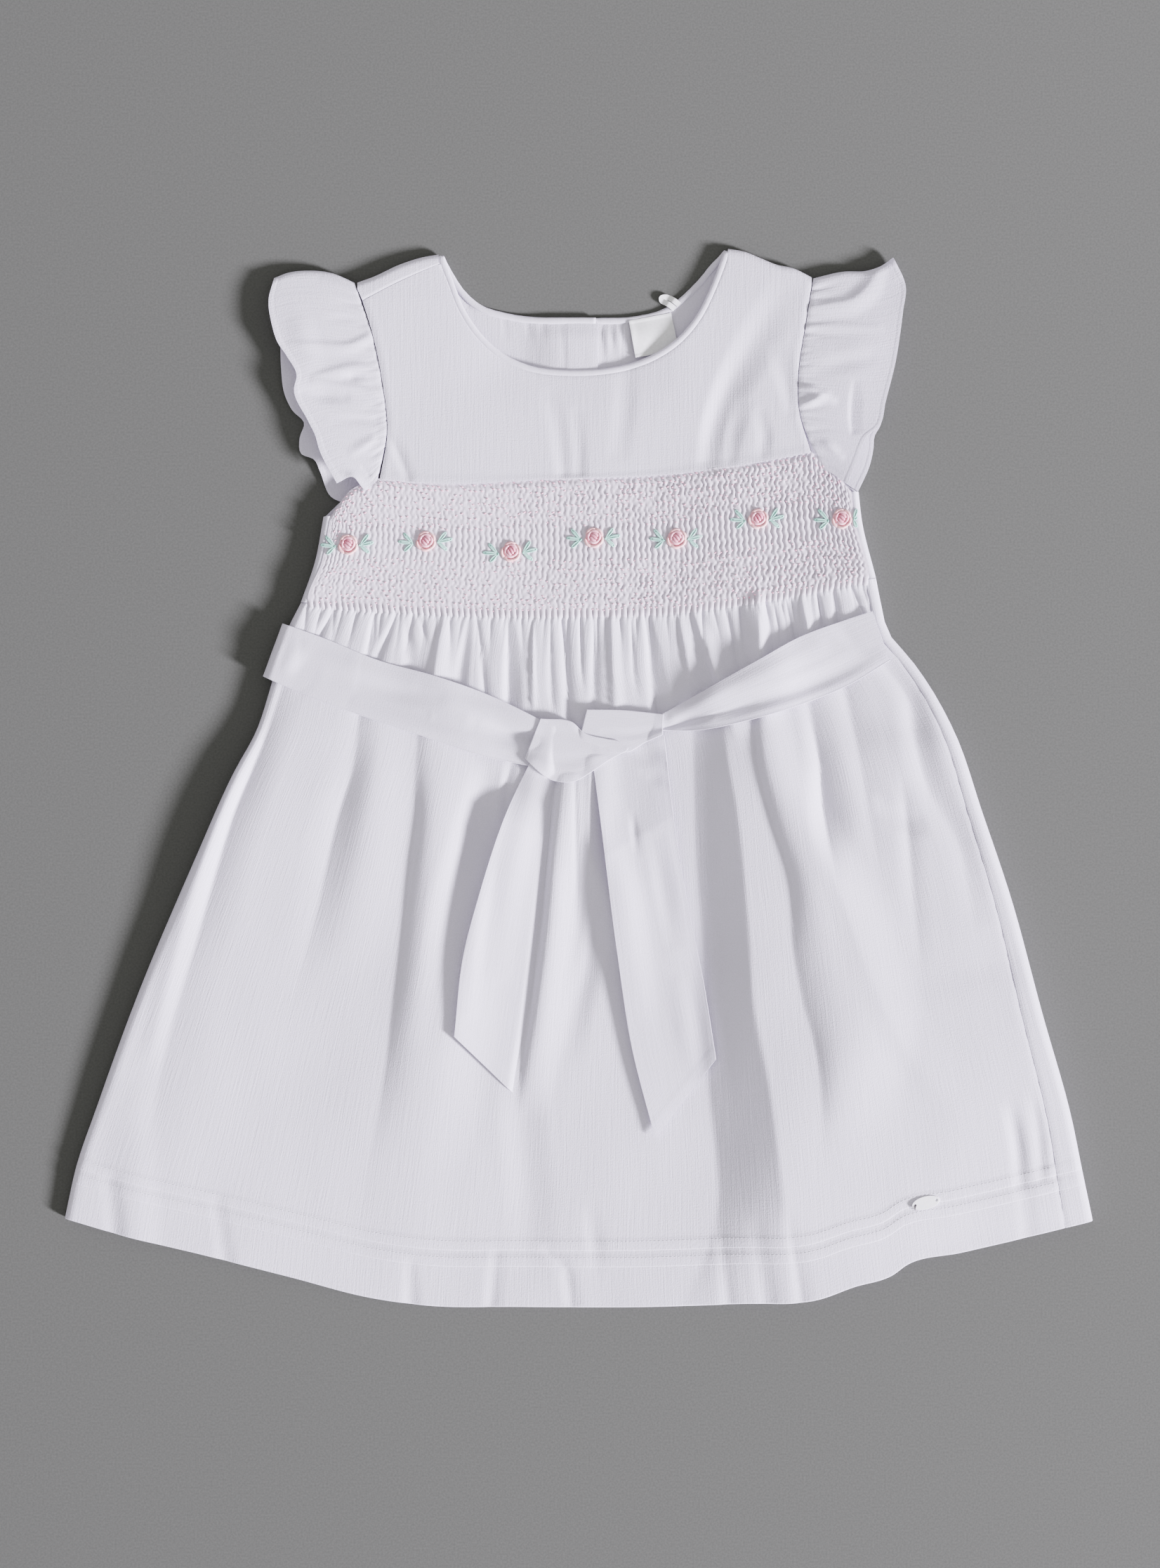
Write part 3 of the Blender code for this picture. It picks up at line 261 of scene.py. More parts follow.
# Dents of the hem
HEM_FOLDS = (
    ("rr", ((-217, -187, -0.5, 6, 7), (-215, -210, -0.7, 6, 7))),
    ("rr", ((-168, -197, -0.3, 5, 6), (-164, -224, -0.7, 5, 7))),
    ("rr", ((-78, -226, -0.4, 5, 5), (-78, -243, -0.8, 5, 6))),
    ("rs", ((-38, -222, -0.4, 5, 6), (-40, -243, -0.9, 5, 7))),
    ("rs", ((-14, -220, -0.5, 4, 6), (-7, -226, -0.9, 5, 6), (-3, -243, -0.8, 5, 7))),
    ("rr", ((5, -205, -0.4, 5, 7), (7, -214, -0.6, 5, 7), (8, -226, -0.2, 5, 7))),
    ("rs", ((66, -208, -0.3, 5, 7), (70, -243, -0.9, 6, 7))),
    ("rr", ((82, -208, -0.3, 6, 7), (87, -242, -0.9, 6, 8))),
    ("ss", ((97, -206, -0.5, 6, 9), (103, -241, -1.1, 6, 9))),
    ("rr", ((205, -188, -0.5, 6, 7), (208, -212, -0.6, 6, 7))),
)

# Gathers between the smocking and the sash
GATHERS = (
    ("ss", ((-112.8, 79.6, -0.5, 1.6, 2.2), (-116, 73, -1.1, 3, 4.5), (-119.9, 66.3, -1.4, 4, 6),
            (-127, 45, -0.8, 5, 8))),
    ("ss", ((-94.9, 76, -0.5, 1.6, 2), (-96.5, 66, -1.1, 2.5, 3.5), (-97.8, 57.5, -1.3, 3, 5),
            (-101, 34, -0.9, 5, 7))),
    ("ss", ((-83.5, 78, -0.6, 1.6, 2.2), (-88, 67, -1.3, 3, 4), (-93.3, 55.3, -1.6, 4, 6),
            (-98, 34, -0.6, 6, 8))),
    ("rr", ((-80, 72, -0.3, 2, 3), (-78.5, 60, -1.2, 4, 5), (-77.4, 50.4, -1.4, 5, 7),
            (-76, 30, -0.5, 7, 9))),
    ("ss", ((-75, 76.4, -0.5, 1.5, 2), (-72, 69, -0.9, 2, 3), (-70.2, 62, -0.2, 2, 3))),
    ("sr", ((-62.1, 74, 0.5, 2.4, 4), (-65, 62, 1.2, 3.6, 7), (-67.3, 46.8, 2.0, 4.0, 9),
            (-69, 28, 1.4, 6, 12))),
    ("rr", ((-50.7, 74, -0.4, 1.8, 2.4), (-53, 60, -1.2, 3.5, 4.5), (-55.6, 43.6, -1.6, 5, 6),
            (-58, 24, -0.4, 6, 8))),
    ("ss", ((-46.8, 73.5, -0.5, 1.5, 2), (-45, 57, -1.2, 2.6, 4), (-43.6, 40.6, -1.4, 3.4, 5),
            (-42, 20, -0.3, 5, 7))),
    ("sl", ((-32.8, 74, -0.7, 1.8, 3), (-32.8, 58, -1.9, 3, 6), (-32.8, 36, -2.4, 4, 7),
            (-33, 20, -1.2, 4, 7))),
    ("ss", ((-21.1, 73, 0.4, 1.4, 1.6), (-21.2, 56, 1.1, 1.8, 2), (-21.1, 36, 1.2, 2.2, 2.6))),
    ("ss", ((-13, 74, -0.4, 1.4, 2), (-13, 58, -1.0, 2.4, 3), (-12.4, 34, -1.1, 3, 4))),
    ("ss", ((-7.8, 73.5, -0.8, 1.8, 2.6), (-6.2, 56, -1.4, 3, 4.4), (-4.6, 32, -1.8, 4, 5.6),
            (-3.4, 14, -1.6, 4, 6))),
    ("ss", ((0.5, 74, -0.3, 1.3, 1.6), (1, 60, -0.9, 2, 2.6), (1.6, 44, -0.5, 2.4, 3))),
    ("ss", ((6.8, 74, -0.5, 1.6, 2.2), (7, 55, -1.3, 2.8, 4), (7.2, 32, -1.5, 3.6, 5))),
    ("sr", ((15, 74.5, 0.5, 2, 3), (15.5, 56, 1.2, 3, 5), (16.4, 33, 1.4, 3.6, 6))),
    ("ss", ((24, 75, -0.4, 1.4, 1.8), (25, 60, -0.9, 2.2, 2.8), (26, 42, -0.7, 2.6, 3.6))),
    ("sl", ((30.5, 75, -0.8, 1.8, 3), (33, 56, -1.7, 3.2, 6), (36, 30, -2.3, 4.4, 8))),
    ("sr", ((46, 76, 0.4, 1.8, 3), (49, 60, 1.2, 2.6, 5), (52, 44, 1.4, 3, 6))),
    ("sr", ((53.6, 75.7, 0.8, 2.2, 4), (58, 62, 2.0, 3.4, 7), (64.4, 44.2, 2.6, 3.6, 9),
            (70, 26, 1.4, 5, 12))),
    ("ss", ((69, 78, -0.4, 1.4, 2), (71, 66, -1.0, 2.2, 3), (74, 50, -1.0, 3, 4))),
    ("lr", ((83.2, 84, 2.0, 9, 3), (83.4, 70, 3.2, 8, 6), (83.9, 54, 3.4, 6, 8), (85, 34, 2.2, 6, 12))),
    ("ss", ((90, 82, -0.4, 1.4, 1.8), (92, 72, -0.9, 2, 2.6), (94, 62, -0.5, 2.2, 3))),
    ("ss", ((95.9, 82, -0.6, 1.6, 2.2), (98, 73, -1.4, 2.6, 4), (100.8, 63, -1.7, 3.4, 5.4),
            (105, 44, -1.0, 5, 8))),
    ("sr", ((102.7, 85, 0.5, 1.8, 3), (104.4, 76, 1.3, 2.4, 4), (106.6, 66, 1.5, 3, 5))),
    ("ss", ((110, 86, -0.5, 1.4, 2), (112, 76, -1.1, 2.2, 3), (114, 67, -1.1, 2.6, 4))),
    ("ss", ((118, 87, -0.6, 1.6, 2.4), (119.2, 79, -1.3, 2.8, 4), (120.3, 70, -1.4, 3.4, 5),
            (124, 50, -0.8, 5, 8))),
    ("ss", ((126.4, 89, -0.5, 1.6, 2.2), (129, 82, -1.2, 2.6, 3.6), (132, 75, -1.3, 3, 5),
            (138, 58, -0.6, 5, 7))),
)

# Folds of the yoke
YOKE_FOLDS = (
    ("rr", ((-13, 176, -0.2, 6, 6), (-9, 160, -0.6, 6, 6), (-7, 142, -0.8, 5, 6))),
    ("rr", ((-1, 168, -0.2, 5, 5), (0, 150, -0.6, 5, 5), (0, 142, -0.7, 5, 5))),
    ("rr", ((22, 188, -0.3, 7, 7), (21, 170, -0.6, 7, 7), (19, 152, -0.3, 7, 7))),
    ("rr", ((93, 222, -0.4, 10, 12), (80, 200, -1.2, 10, 13), (68, 178, -1.7, 8, 12), (62, 160, -1.7, 7, 11),
            (60, 148, -0.9, 6, 9))),
    ("rr", ((76, 172, -0.4, 6, 6), (72, 160, -0.9, 5, 6), (70, 148, -0.5, 5, 5))),
    ("rr", ((92, 196, -0.3, 6, 8), (97, 180, -0.8, 6, 7), (99, 171, -0.4, 5, 5))),
    ("rs", ((-87, 158, -0.3, 4, 5), (-83, 150, -0.8, 4, 5), (-79, 140, -0.7, 4, 5))),
    ("rr", ((84, 168, -0.3, 5, 5), (86, 158, -0.7, 5, 5), (85, 150, -0.4, 5, 5))),
)

BACK_FOLDS = (
    ("sr", ((12.5, 209, 0.4, 1.6, 2), (12.8, 203, 0.9, 2, 3), (13.4, 196, 0.3, 2, 3))),
    ("sr", ((17, 210, 0.4, 1.6, 2), (17.6, 204, 0.8, 2, 3), (18, 198, 0.3, 2, 3))),
    ("sr", ((22, 211, 0.5, 1.6, 2), (22.4, 206, 0.9, 2, 3), (22.6, 200, 0.3, 2, 3))),
    ("ss", ((-34.8, 213, -0.4, 1.5, 2), (-34.2, 206, -0.3, 2, 3))),
    ("ss", ((-24, 213, -0.4, 1.5, 2), (-23.6, 206, -0.3, 2, 3))),
    ("ss", ((-17, 213, -0.4, 1.5, 2), (-16.6, 207, -0.3, 2, 3))),
    ("sr", ((-55.5, 224, -0.2, 2, 3), (-52.5, 221, -0.6, 2, 3), (-50, 218, -0.2, 2, 3))),
)

SLEEVE_LEFT_FOLDS = (
    ("sr", ((-117.5, 230, 0.3, 3, 4), (-109, 226.5, 0.9, 3, 6), (-101, 222.4, 0.8, 3, 5))),
    ("rr", ((-116.4, 212.6, -0.1, 3, 3), (-107, 212.6, -0.5, 3, 3), (-99.8, 211.6, -0.4, 3, 3))),
    ("rs", ((-133, 201.4, 0.2, 4, 2), (-120, 200.8, 0.8, 6, 3), (-105.6, 200.9, 1.2, 6, 3),
            (-96.9, 205.1, 1.0, 5, 3))),
    ("rs", ((-121.6, 186.2, 0.4, 5, 2.4), (-114.1, 188.5, 1.0, 6, 3), (-101.4, 190.8, 1.1, 6, 3),
            (-91.9, 188.5, 0.7, 5, 2.4))),
    ("rr", ((-108, 185.8, -0.5, 2.6, 3), (-104.7, 185.6, -1.2, 3, 3.2), (-101.4, 185.4, -0.5, 2.6, 3))),
    ("rs", ((-122.2, 184.3, 0.2, 4, 2), (-110.2, 182, 0.7, 5, 2.4), (-96.9, 179.4, 0.8, 5, 2.4),
            (-90.4, 175, 0.5, 4, 2))),
    ("rr", ((-126, 178.5, -0.5, 4, 5), (-118, 177, -1.3, 5, 6), (-109, 176, -0.6, 4, 5))),
    ("rr", ((-112.5, 165.8, -0.2, 4, 3), (-103, 166, -0.6, 4, 3), (-94, 165.8, -0.5, 4, 3))),
    ("sr", ((-103.7, 150.5, 0.5, 3, 5), (-99.5, 153, 1.0, 3, 5), (-95.2, 156.3, 0.8, 3, 4))),
    ("ss", ((-99.8, 143, -0.5, 1.6, 2), (-97.2, 140.6, -0.7, 1.6, 2))),
    ("rr", ((-131, 215, 0.2, 8, 8), (-128, 205, 0.9, 9, 9), (-124, 195, 0.5, 8, 8))),
    ("ls", ((-108, 141, 0.3, 3, 3), (-104.5, 139.5, 1.4, 3, 4), (-99, 134.5, 1.0, 3, 4))),
)
SLEEVE_RIGHT_FOLDS = (
    ("rs", ((107, 218.4, 0.8, 6, 3), (116, 219.6, 1.5, 8, 4), (127.1, 222, 1.8, 9, 5), (134, 228, 1.6, 9, 6),
            (138.5, 235, 0.8, 6, 5))),
    ("ss", ((105.6, 225.6, -0.6, 2, 2.4), (112, 226.5, -0.5, 2.4, 3), (119, 227.6, -0.1, 2.4, 3))),
    ("rs", ((104.3, 209.2, 0.8, 4, 2.4), (120, 209.6, 0.7, 5, 3), (138.5, 209, 0.3, 5, 3))),
    ("ss", ((103.6, 205.6, -0.7, 1.8, 2.4), (110, 205.4, -0.5, 2, 3), (118, 205, -0.1, 2, 3))),
    ("rs", ((102, 182.6, 0.3, 3, 2), (108, 180.4, 2.6, 4, 3), (117, 176, 0.8, 5, 3))),
    ("rs", ((102, 173, 0.3, 3, 2), (108, 175, 2.2, 4, 3), (114, 178, 0.6, 5, 3))),
    ("ll", ((127.5, 183, -0.3, 1.3, 3), (126.4, 176, -0.9, 1.3, 5.5), (125.9, 168, -1.0, 1.3, 5.5),
            (126.4, 161, -0.7, 1.3, 5))),
    ("sr", ((111, 155.4, 0.5, 3, 3), (115, 153.6, 1.4, 3, 4), (120.6, 149, 0.5, 3, 4))),
    ("rr", ((112, 190, -0.3, 5, 5), (122, 192, -0.8, 6, 6), (134, 194, -0.3, 5, 5))),
    ("rr", ((118, 200, 0.2, 7, 7), (128, 199, 0.6, 8, 8), (138, 200, 0.2, 7, 7))),
    ("rr", ((139, 238, 0.1, 6, 6), (145, 238.5, 0.6, 6, 6), (148, 234, 0.4, 5, 5))),
)
SASH_LEFT_FOLDS = (
    ("rr", ((-20, 17, -2.2, 5, 7), (-30, 20, -2.4, 5, 8), (-46, 25, -0.6, 6, 8))),
    ("rr", ((-22, 24, 0.4, 4, 4), (-36, 30, 0.5, 5, 5), (-60, 36, 0.2, 6, 6))),
    ("rr", ((-52, 17, 0.2, 5, 5), (-76, 24, 0.6, 6, 6), (-102, 35, 0.2, 6, 6))),
    ("rr", ((-78, 44, 0.2, 6, 6), (-100, 50, 0.6, 7, 7), (-124, 60, 0.2, 6, 6))),
    ("rr", ((-64, 36, -0.1, 6, 6), (-88, 40, -0.5, 6, 6), (-112, 48, -0.1, 6, 6))),
    ("rr", ((-128, 62, 0.2, 8, 8), (-134, 55, 0.9, 8, 8), (-138, 48, 0.3, 8, 8))),
)
SASH_RIGHT_FOLDS = (
    ("ss", ((40, 23, -0.9, 2, 4), (58, 28, -0.9, 3, 5), (80, 34.1, -0.2, 3, 5))),
    ("rr", ((66, 29, -0.3, 4, 6), (78, 33.5, -1.1, 5, 7), (100, 40, -1.4, 5, 8), (122, 49, -0.9, 5, 8),
            (136, 57, -0.2, 5, 8))),
    ("rr", ((44, 28.5, 0.6, 4, 5), (62, 38, 1.0, 6, 6), (84, 48, 0.8, 7, 7), (110, 60, 0.3, 7, 7))),
    ("rr", ((120, 70, -0.2, 5, 5), (128, 62, -0.5, 5, 5), (138, 58, -0.1, 5, 5))),
)
TAIL_LEFT_FOLDS = (
    ("rr", ((-20, 4, 0.5, 6, 7), (-24, -15, 0.8, 8, 8), (-32, -50, 0.6, 9, 9), (-38, -90, 0.3, 9, 9))),
    ("rr", ((-41, -30, 0.2, 6, 6), (-47, -68, 0.6, 6, 6), (-51, -108, 0.2, 6, 6))),
)
TAIL_RIGHT_FOLDS = (
    ("rr", ((26.3, 17.2, -0.4, 5, 5), (33, 12, -0.8, 6, 6), (39.3, 8, -0.4, 5, 5))),
    ("rr", ((30.5, 2, -0.2, 4, 4), (35, 0, -0.5, 5, 5), (39.5, -2, -0.2, 4, 4))),
    ("ls", ((25, -17, -0.2, 2.4, 3), (25.8, -24, -0.9, 2.6, 4), (26.8, -34, -0.2, 2.4, 4))),
    ("rr", ((35.5, -30, -0.3, 6, 7), (39, -50, -0.9, 6, 8), (43.5, -74, -0.3, 6, 8))),
    ("rr", ((16, -10, 0.2, 6, 6), (21, -50, 0.4, 8, 8), (29, -100, 0.3, 9, 9), (38, -140, 0.1, 9, 9))),
    ("rr", ((46, -96, 0.2, 6, 6), (50, -118, 0.5, 7, 7), (54, -138, 0.2, 6, 6))),
)
TAIL_LEFT_LIFTS = (  # place, left, right
    (0, -0.8, -0.8), (0.05, -1.4, -0.8), (0.09, -0.6, -0.4), (0.14, 1.8, 0.0), (0.22, 5.6, 0.0),
    (0.3, 6.0, 0.0), (0.5, 4.6, 0.0), (0.8, 3.0, 0.0), (1, 2.0, 0.0),
)
TAIL_RIGHT_LIFTS = ((0, -0.8, 0.2), (0.07, 0.2, 1.0), (0.25, 3.2, 2.4), (0.6, 2.6, 1.6), (1, 1.6, 0.0))
KNOT_WRAP_FOLDS = (
    ("rr", ((-18, 25, -0.2, 3, 3), (-6, 20.5, -0.35, 4, 4), (6, 14.5, -0.15, 4, 4))),
    ("ls", ((-1, 25, -0.2, 3, 3), (2, 22, -0.8, 3, 3), (5, 19.5, -0.2, 3, 3))),
    ("rr", ((-19, 12, -0.1, 4, 4), (-8, 8, -0.3, 5, 5), (6, 10, -0.1, 4, 4))),
)
KNOT_LOOP_FOLDS = (
    ("rr", ((12, 21, -0.1, 3, 3), (24, 20, -0.3, 3, 4), (36, 22, -0.1, 3, 3))),
)

# Roses of the smocking, and round the centre of each the leaves' tips from the knots beside it
ROSES = (
    (-106.9, 107.9), (-70.9, 109.5), (-31.5, 104.7), (6.8, 111.2), (45.2, 110.8), (82.9, 119.9),
    (121.5, 119.9),
)
LEAF_END = 128.6  # the last leaves stop at the side
LEAVES = (  # knot, then the tips of its three leaves
    ((-5.9, -0.9), ((-10.2, 3.9), (-12.4, -0.2), (-9.6, -4.6))),
    ((5.7, -0.4), ((9.2, 4.4), (12.0, 1.0), (10.0, -3.8))),
)

# Flutter sleeves: their tops, and the free and the lower edges of the front and of the back layer
SLEEVE_LEFT_FOLD = ((-141, 231.5), (-134.5, 234), (-125, 235), (-115, 234), (-104, 229.5))
SLEEVE_LEFT_FRONT = (
    (-141, 231.5), (-143.5, 221.5), (-142, 210), (-139.4, 201.8), (-134.9, 195), (-130.4, 186), (-131.6, 180),
    (-125.1, 165.1), (-121.9, 158.6), (-119.9, 151.8), (-111.8, 136.2),
)
SLEEVE_LEFT_FRONT_LOW = ((-111.8, 136.2), (-104.7, 139.2), (-98.3, 133.2), (-93, 138.6))
SLEEVE_LEFT_BACK = (
    (-141, 231.5), (-141, 222), (-139.6, 210), (-138.5, 201), (-138.1, 191.4), (-135.9, 176.5),
    (-132.9, 170.6), (-127.4, 164.6), (-129.4, 158), (-128.8, 150.5), (-122.5, 147.5), (-119.9, 142),
    (-114.7, 130.3), (-108, 127.2),
)
SLEEVE_LEFT_BACK_LOW = ((-108, 127.2), (-93, 138.6))
SLEEVE_RIGHT_FOLD = ((109, 231.5), (122.5, 234.5), (134, 235), (140, 237), (146, 241))
SLEEVE_RIGHT_FRONT = (
    (146, 241), (151.5, 227), (150.2, 216.5), (148.5, 203.8), (147, 194.5), (142, 174), (139.4, 163.4),
    (133.4, 158), (129, 147.5), (124.3, 135.7),
)
SLEEVE_RIGHT_FRONT_LOW = ((112.8, 143.3), (118, 140.4), (124.3, 135.7))
SLEEVE_RIGHT_BACK = (
    (146, 241), (149, 227), (148, 212), (146.6, 194.5), (141.6, 174), (139.8, 163), (137.3, 158.6),
    (136.8, 152.8), (135.2, 145.3), (131.3, 136.2), (129.6, 132.8),
)
SLEEVE_RIGHT_BACK_LOW = ((110, 146), (129.6, 132.8))

SLEEVES = {
    "left": (SLEEVE_LEFT_FOLD, SLEEVE_LEFT_FRONT, SLEEVE_LEFT_FRONT_LOW, SLEEVE_LEFT_BACK,
             SLEEVE_LEFT_BACK_LOW, ARMHOLE_LEFT, SLEEVE_LEFT_FOLDS),
    "right": (SLEEVE_RIGHT_FOLD, SLEEVE_RIGHT_FRONT, SLEEVE_RIGHT_FRONT_LOW, SLEEVE_RIGHT_BACK,
              SLEEVE_RIGHT_BACK_LOW, ARMHOLE_RIGHT, SLEEVE_RIGHT_FOLDS),
}

# Sash, from the side seams to the knot, and its free ends
SASH_LEFT_TOP = (
    (-137, 71.5), (-117.5, 64.5), (-93, 54.5), (-66, 47), (-42, 38.5), (-17, 26.5), (-11.5, 23.6),
)
SASH_LEFT_LOW = ((-146, 47), (-132.5, 41), (-101, 29), (-68, 18), (-44, 10), (-21, 5), (-15, 3.2))
SASH_RIGHT_TOP = ((35, 27.5), (50.5, 36), (64.5, 44), (84, 55), (102, 65), (122, 72.5), (137, 77.5))
SASH_RIGHT_LOW = ((35, 22), (54.5, 22), (80, 27), (106, 35), (125, 43), (145, 55))
TAIL_LEFT_EDGES = (
    ((-22, 8), (-31, -10.5), (-46.5, -56), (-53, -81), (-57.5, -119.5)),
    ((-9, 3), (-12, -12), (-14.5, -36.5), (-21.5, -103.5), (-28.5, -148)),
)
TAIL_RIGHT_EDGES = (
    ((6.5, 8), (9.5, -15), (18, -82), (24.5, -124), (35.5, -167)),
    ((39.5, 20), (45, -26.5), (50.5, -59), (57.5, -93), (63.5, -130)),
)
KNOT_WRAP_TOP = ((-17.5, 27.3), (-2.6, 25.4), (2, 21.1), (13, 17.9), (18.2, 16.9), (22.8, 13.9))
KNOT_WRAP_LOW = ((-24.7, 9.1), (-20.8, 5.2), (-13, -0.6), (-2.6, -1.6), (6.5, 3.3), (14.3, 8.5), (22.1, 12.6))
KNOT_LOOP_TOP = ((3.9, 31.5), (20.8, 31.2), (39, 29.3))
KNOT_LOOP_LOW = ((1.0, 19.8), (12, 15.6), (22, 12.0), (31.2, 16.7), (38.6, 20.0))

TAILS = {  # flat size in metres, edges, reach over what it lies on, lifts, drop of its right edge, creases
    "left": ((0.15, 0.03), TAIL_LEFT_EDGES, 1.2, TAIL_LEFT_LIFTS, 2.2, TAIL_LEFT_FOLDS),
    "right": ((0.165, 0.034), TAIL_RIGHT_EDGES, 5.0, TAIL_RIGHT_LIFTS, 0.0, TAIL_RIGHT_FOLDS),
}
KNOT_LOBES = {  # flat size in metres, what it lies on, top and low edge, rise, creases
    "knot_loop": ((0.04, 0.017), "sash_right_band", KNOT_LOOP_TOP, KNOT_LOOP_LOW, 1.4, KNOT_LOOP_FOLDS),
    "knot_wrap": ((0.066, 0.022), "knot_loop", KNOT_WRAP_TOP, KNOT_WRAP_LOW, 0.1, KNOT_WRAP_FOLDS),
}

LABEL_CORNERS = ((23.3, 212.0), (42.9, 215.8), (46.5, 198.6), (26.4, 194.8))
LOOP_ROUTE = (  # x, y and height over what it lies on
    (46.8, 219.4, 0.3), (44.4, 221.3, 0.8), (42.0, 222.7, 1.1), (39.9, 223.1, 1.2), (38.5, 222.6, 1.25),
    (38.6, 221.6, 1.2), (40.3, 220.5, 1.0), (42.6, 219.1, 0.7), (44.6, 217.4, 0.3),
)


# ------------------------------------------------------------------ curves and patches


def through(points):
    """A smooth curve through some points, as a function of the share of its length."""
    points = np.array(points, float)
    steps = np.linalg.norm(np.diff(points[:, :2], axis=0), axis=1)
    knots = np.append(0.0, np.cumsum(steps)) / steps.sum()
    slopes = np.gradient(points, knots, axis=0)

    def at(share):
        share = np.asarray(share, float)
        span = np.clip(np.searchsorted(knots, share, side="right") - 1, 0, len(knots) - 2)
        length = (knots[span + 1] - knots[span])[..., None]
        t = (share - knots[span])[..., None] / length
        from_start = (1 + 2 * t) * (1 - t) ** 2 * points[span] + t * (1 - t) ** 2 * length * slopes[span]
        from_end = t * t * (3 - 2 * t) * points[span + 1] + t * t * (t - 1) * length * slopes[span + 1]
        return from_start + from_end

    return at


def joined(*pieces):
    """Curves end to end. Each piece is the curve and the share at which it ends."""

    def at(share):
        share = np.asarray(share, float)
        place = np.zeros(share.shape + (2,))
        start = 0.0
        for curve, end in pieces:
            inside = (share >= start) & (share <= end)
            place[inside] = curve((share[inside] - start) / (end - start))
            start = end
        return place

    return at


def shifted(curve, dx=0.0, dy=0.0):
    return lambda share: curve(share) + np.array([dx, dy])


def beside(curve, distance):
    """The curve moved sideways, to the right of its direction of travel."""

    def at(share):
        share = np.asarray(share, float)
        ahead = curve(np.minimum(share + 0.01, 1)) - curve(np.maximum(share - 0.01, 0))
        ahead /= np.linalg.norm(ahead, axis=-1, keepdims=True)
        return curve(share) + distance * np.stack([ahead[..., 1], -ahead[..., 0]], axis=-1)

    return at


def part_of(curve, start, end):
    return lambda share: curve(start + (end - start) * np.asarray(share, float))


def straight(start, end):
    start, end = np.array(start, float), np.array(end, float)
    return lambda share: start + (end - start) * np.asarray(share, float)[..., None]


def patch(top, low, left, right):
    """Plan position at (across, down) inside four edge curves: a Coons patch."""

    def at(across, down):
        across, down = np.broadcast_arrays(np.asarray(across, float), np.asarray(down, float))
        a, d = across[..., None], down[..., None]
        lengthwise = (1 - d) * top(across) + d * low(across)
        crosswise = (1 - a) * left(down) + a * right(down)
        corners = (1 - d) * ((1 - a) * top(0) + a * top(1)) + d * ((1 - a) * low(0) + a * low(1))
        return lengthwise + crosswise - corners

    return at


def between(left_edge, right_edge):
    """A patch from a left and a right edge, with straight ends."""
    left, right = through(left_edge), through(right_edge)
    return patch(straight(left(0), right(0)), straight(left(1), right(1)), left, right)


def band(top_edge, low_edge):
    """A patch from a top and a low edge, with straight sides."""
    top, low = through(top_edge), through(low_edge)
    return patch(top, low, straight(top(0), low(0)), straight(top(1), low(1)))


def row_widths(surface, rows):
    """Straight distance between the two sides of a patch, row by row."""
    return np.linalg.norm(surface(1, rows) - surface(0, rows), axis=-1)


def smooth_step(value):
    value = np.clip(value, 0, 1)
    return value * value * (3 - 2 * value)


def roll(angles, depth):
    """A rolled edge: how far in each of its lines lies, and the share of the way up from the surface."""
    turn = np.radians(np.array(angles, float))
    return depth * (1 - np.cos(turn)), (1 + np.sin(turn)) / 2


# ------------------------------------------------------------------ heights


def outline_x(y, *tables):
    points = np.array(sorted((row[1], row[0]) for table in tables for row in table))
    return np.interp(y, points[:, 0], points[:, 1])


PROFILES = {
    "s": lambda flank: (1 - flank) ** 2,
    "d": lambda flank: 1 - flank ** 2.5,
    "l": lambda flank: 1 - flank,
    "r": lambda flank: 1 - smooth_step(flank),
}


def ridges(x, y, table):
    """Rise at (x, y) of the folds in a table."""
    rise = np.zeros_like(x)
    for (left_kind, right_kind), rows in table:
        dense = through(rows)(np.linspace(0, 1, 12 * len(rows)))
        line, (height, left, right) = dense[:, :2], dense[:, 2:].T
        reach = 1.5 * max(left.max(), right.max())
        low, high = line.min(0) - reach, line.max(0) + reach
        near = (x > low[0]) & (x < high[0]) & (y > low[1]) & (y < high[1])
        if not near.any():
            continue
        dx, dy = x[near][:, None] - line[:, 0], y[near][:, None] - line[:, 1]
        index = np.argmin(dx * dx + dy * dy, axis=1)
        each = np.arange(len(index))
        dx, dy = dx[each, index], dy[each, index]
        ahead = np.gradient(line, axis=0)
        pace = np.linalg.norm(ahead, axis=1)
        tx, ty = (ahead / pace[:, None])[index].T
        along, side = dx * tx + dy * ty, dy * tx - dx * ty
        place = index + along / pace[index]
        order = np.arange(len(line))
        height, left, right = (np.interp(place, order, column) for column in (height, left, right))
        beyond = np.maximum(-place, place - order[-1]).clip(0) * pace[index]
        flank = np.clip(np.abs(side) / np.where(side < 0, left, right), 0, 1)
        profile = np.where(side < 0, PROFILES[left_kind](flank), PROFILES[right_kind](flank))
        rise[near] += height * profile * (1 - smooth_step(beyond / ((left + right) / 2)))
    return rise


def swell(x, y, size, height, seed):
    """Slow, uneven waves of about that size, the same each run."""
    random = np.random.default_rng(seed)
    rise = np.zeros_like(x)
    for _ in range(7):
        turn, phase = random.uniform(0, np.pi), random.uniform(0, 2 * np.pi)
        stretch = random.uniform(0.6, 1.6)
        rise += np.sin(2 * np.pi * (x * np.cos(turn) + 0.5 * y * np.sin(turn)) / (size * stretch) + phase)
    return rise * height / 7


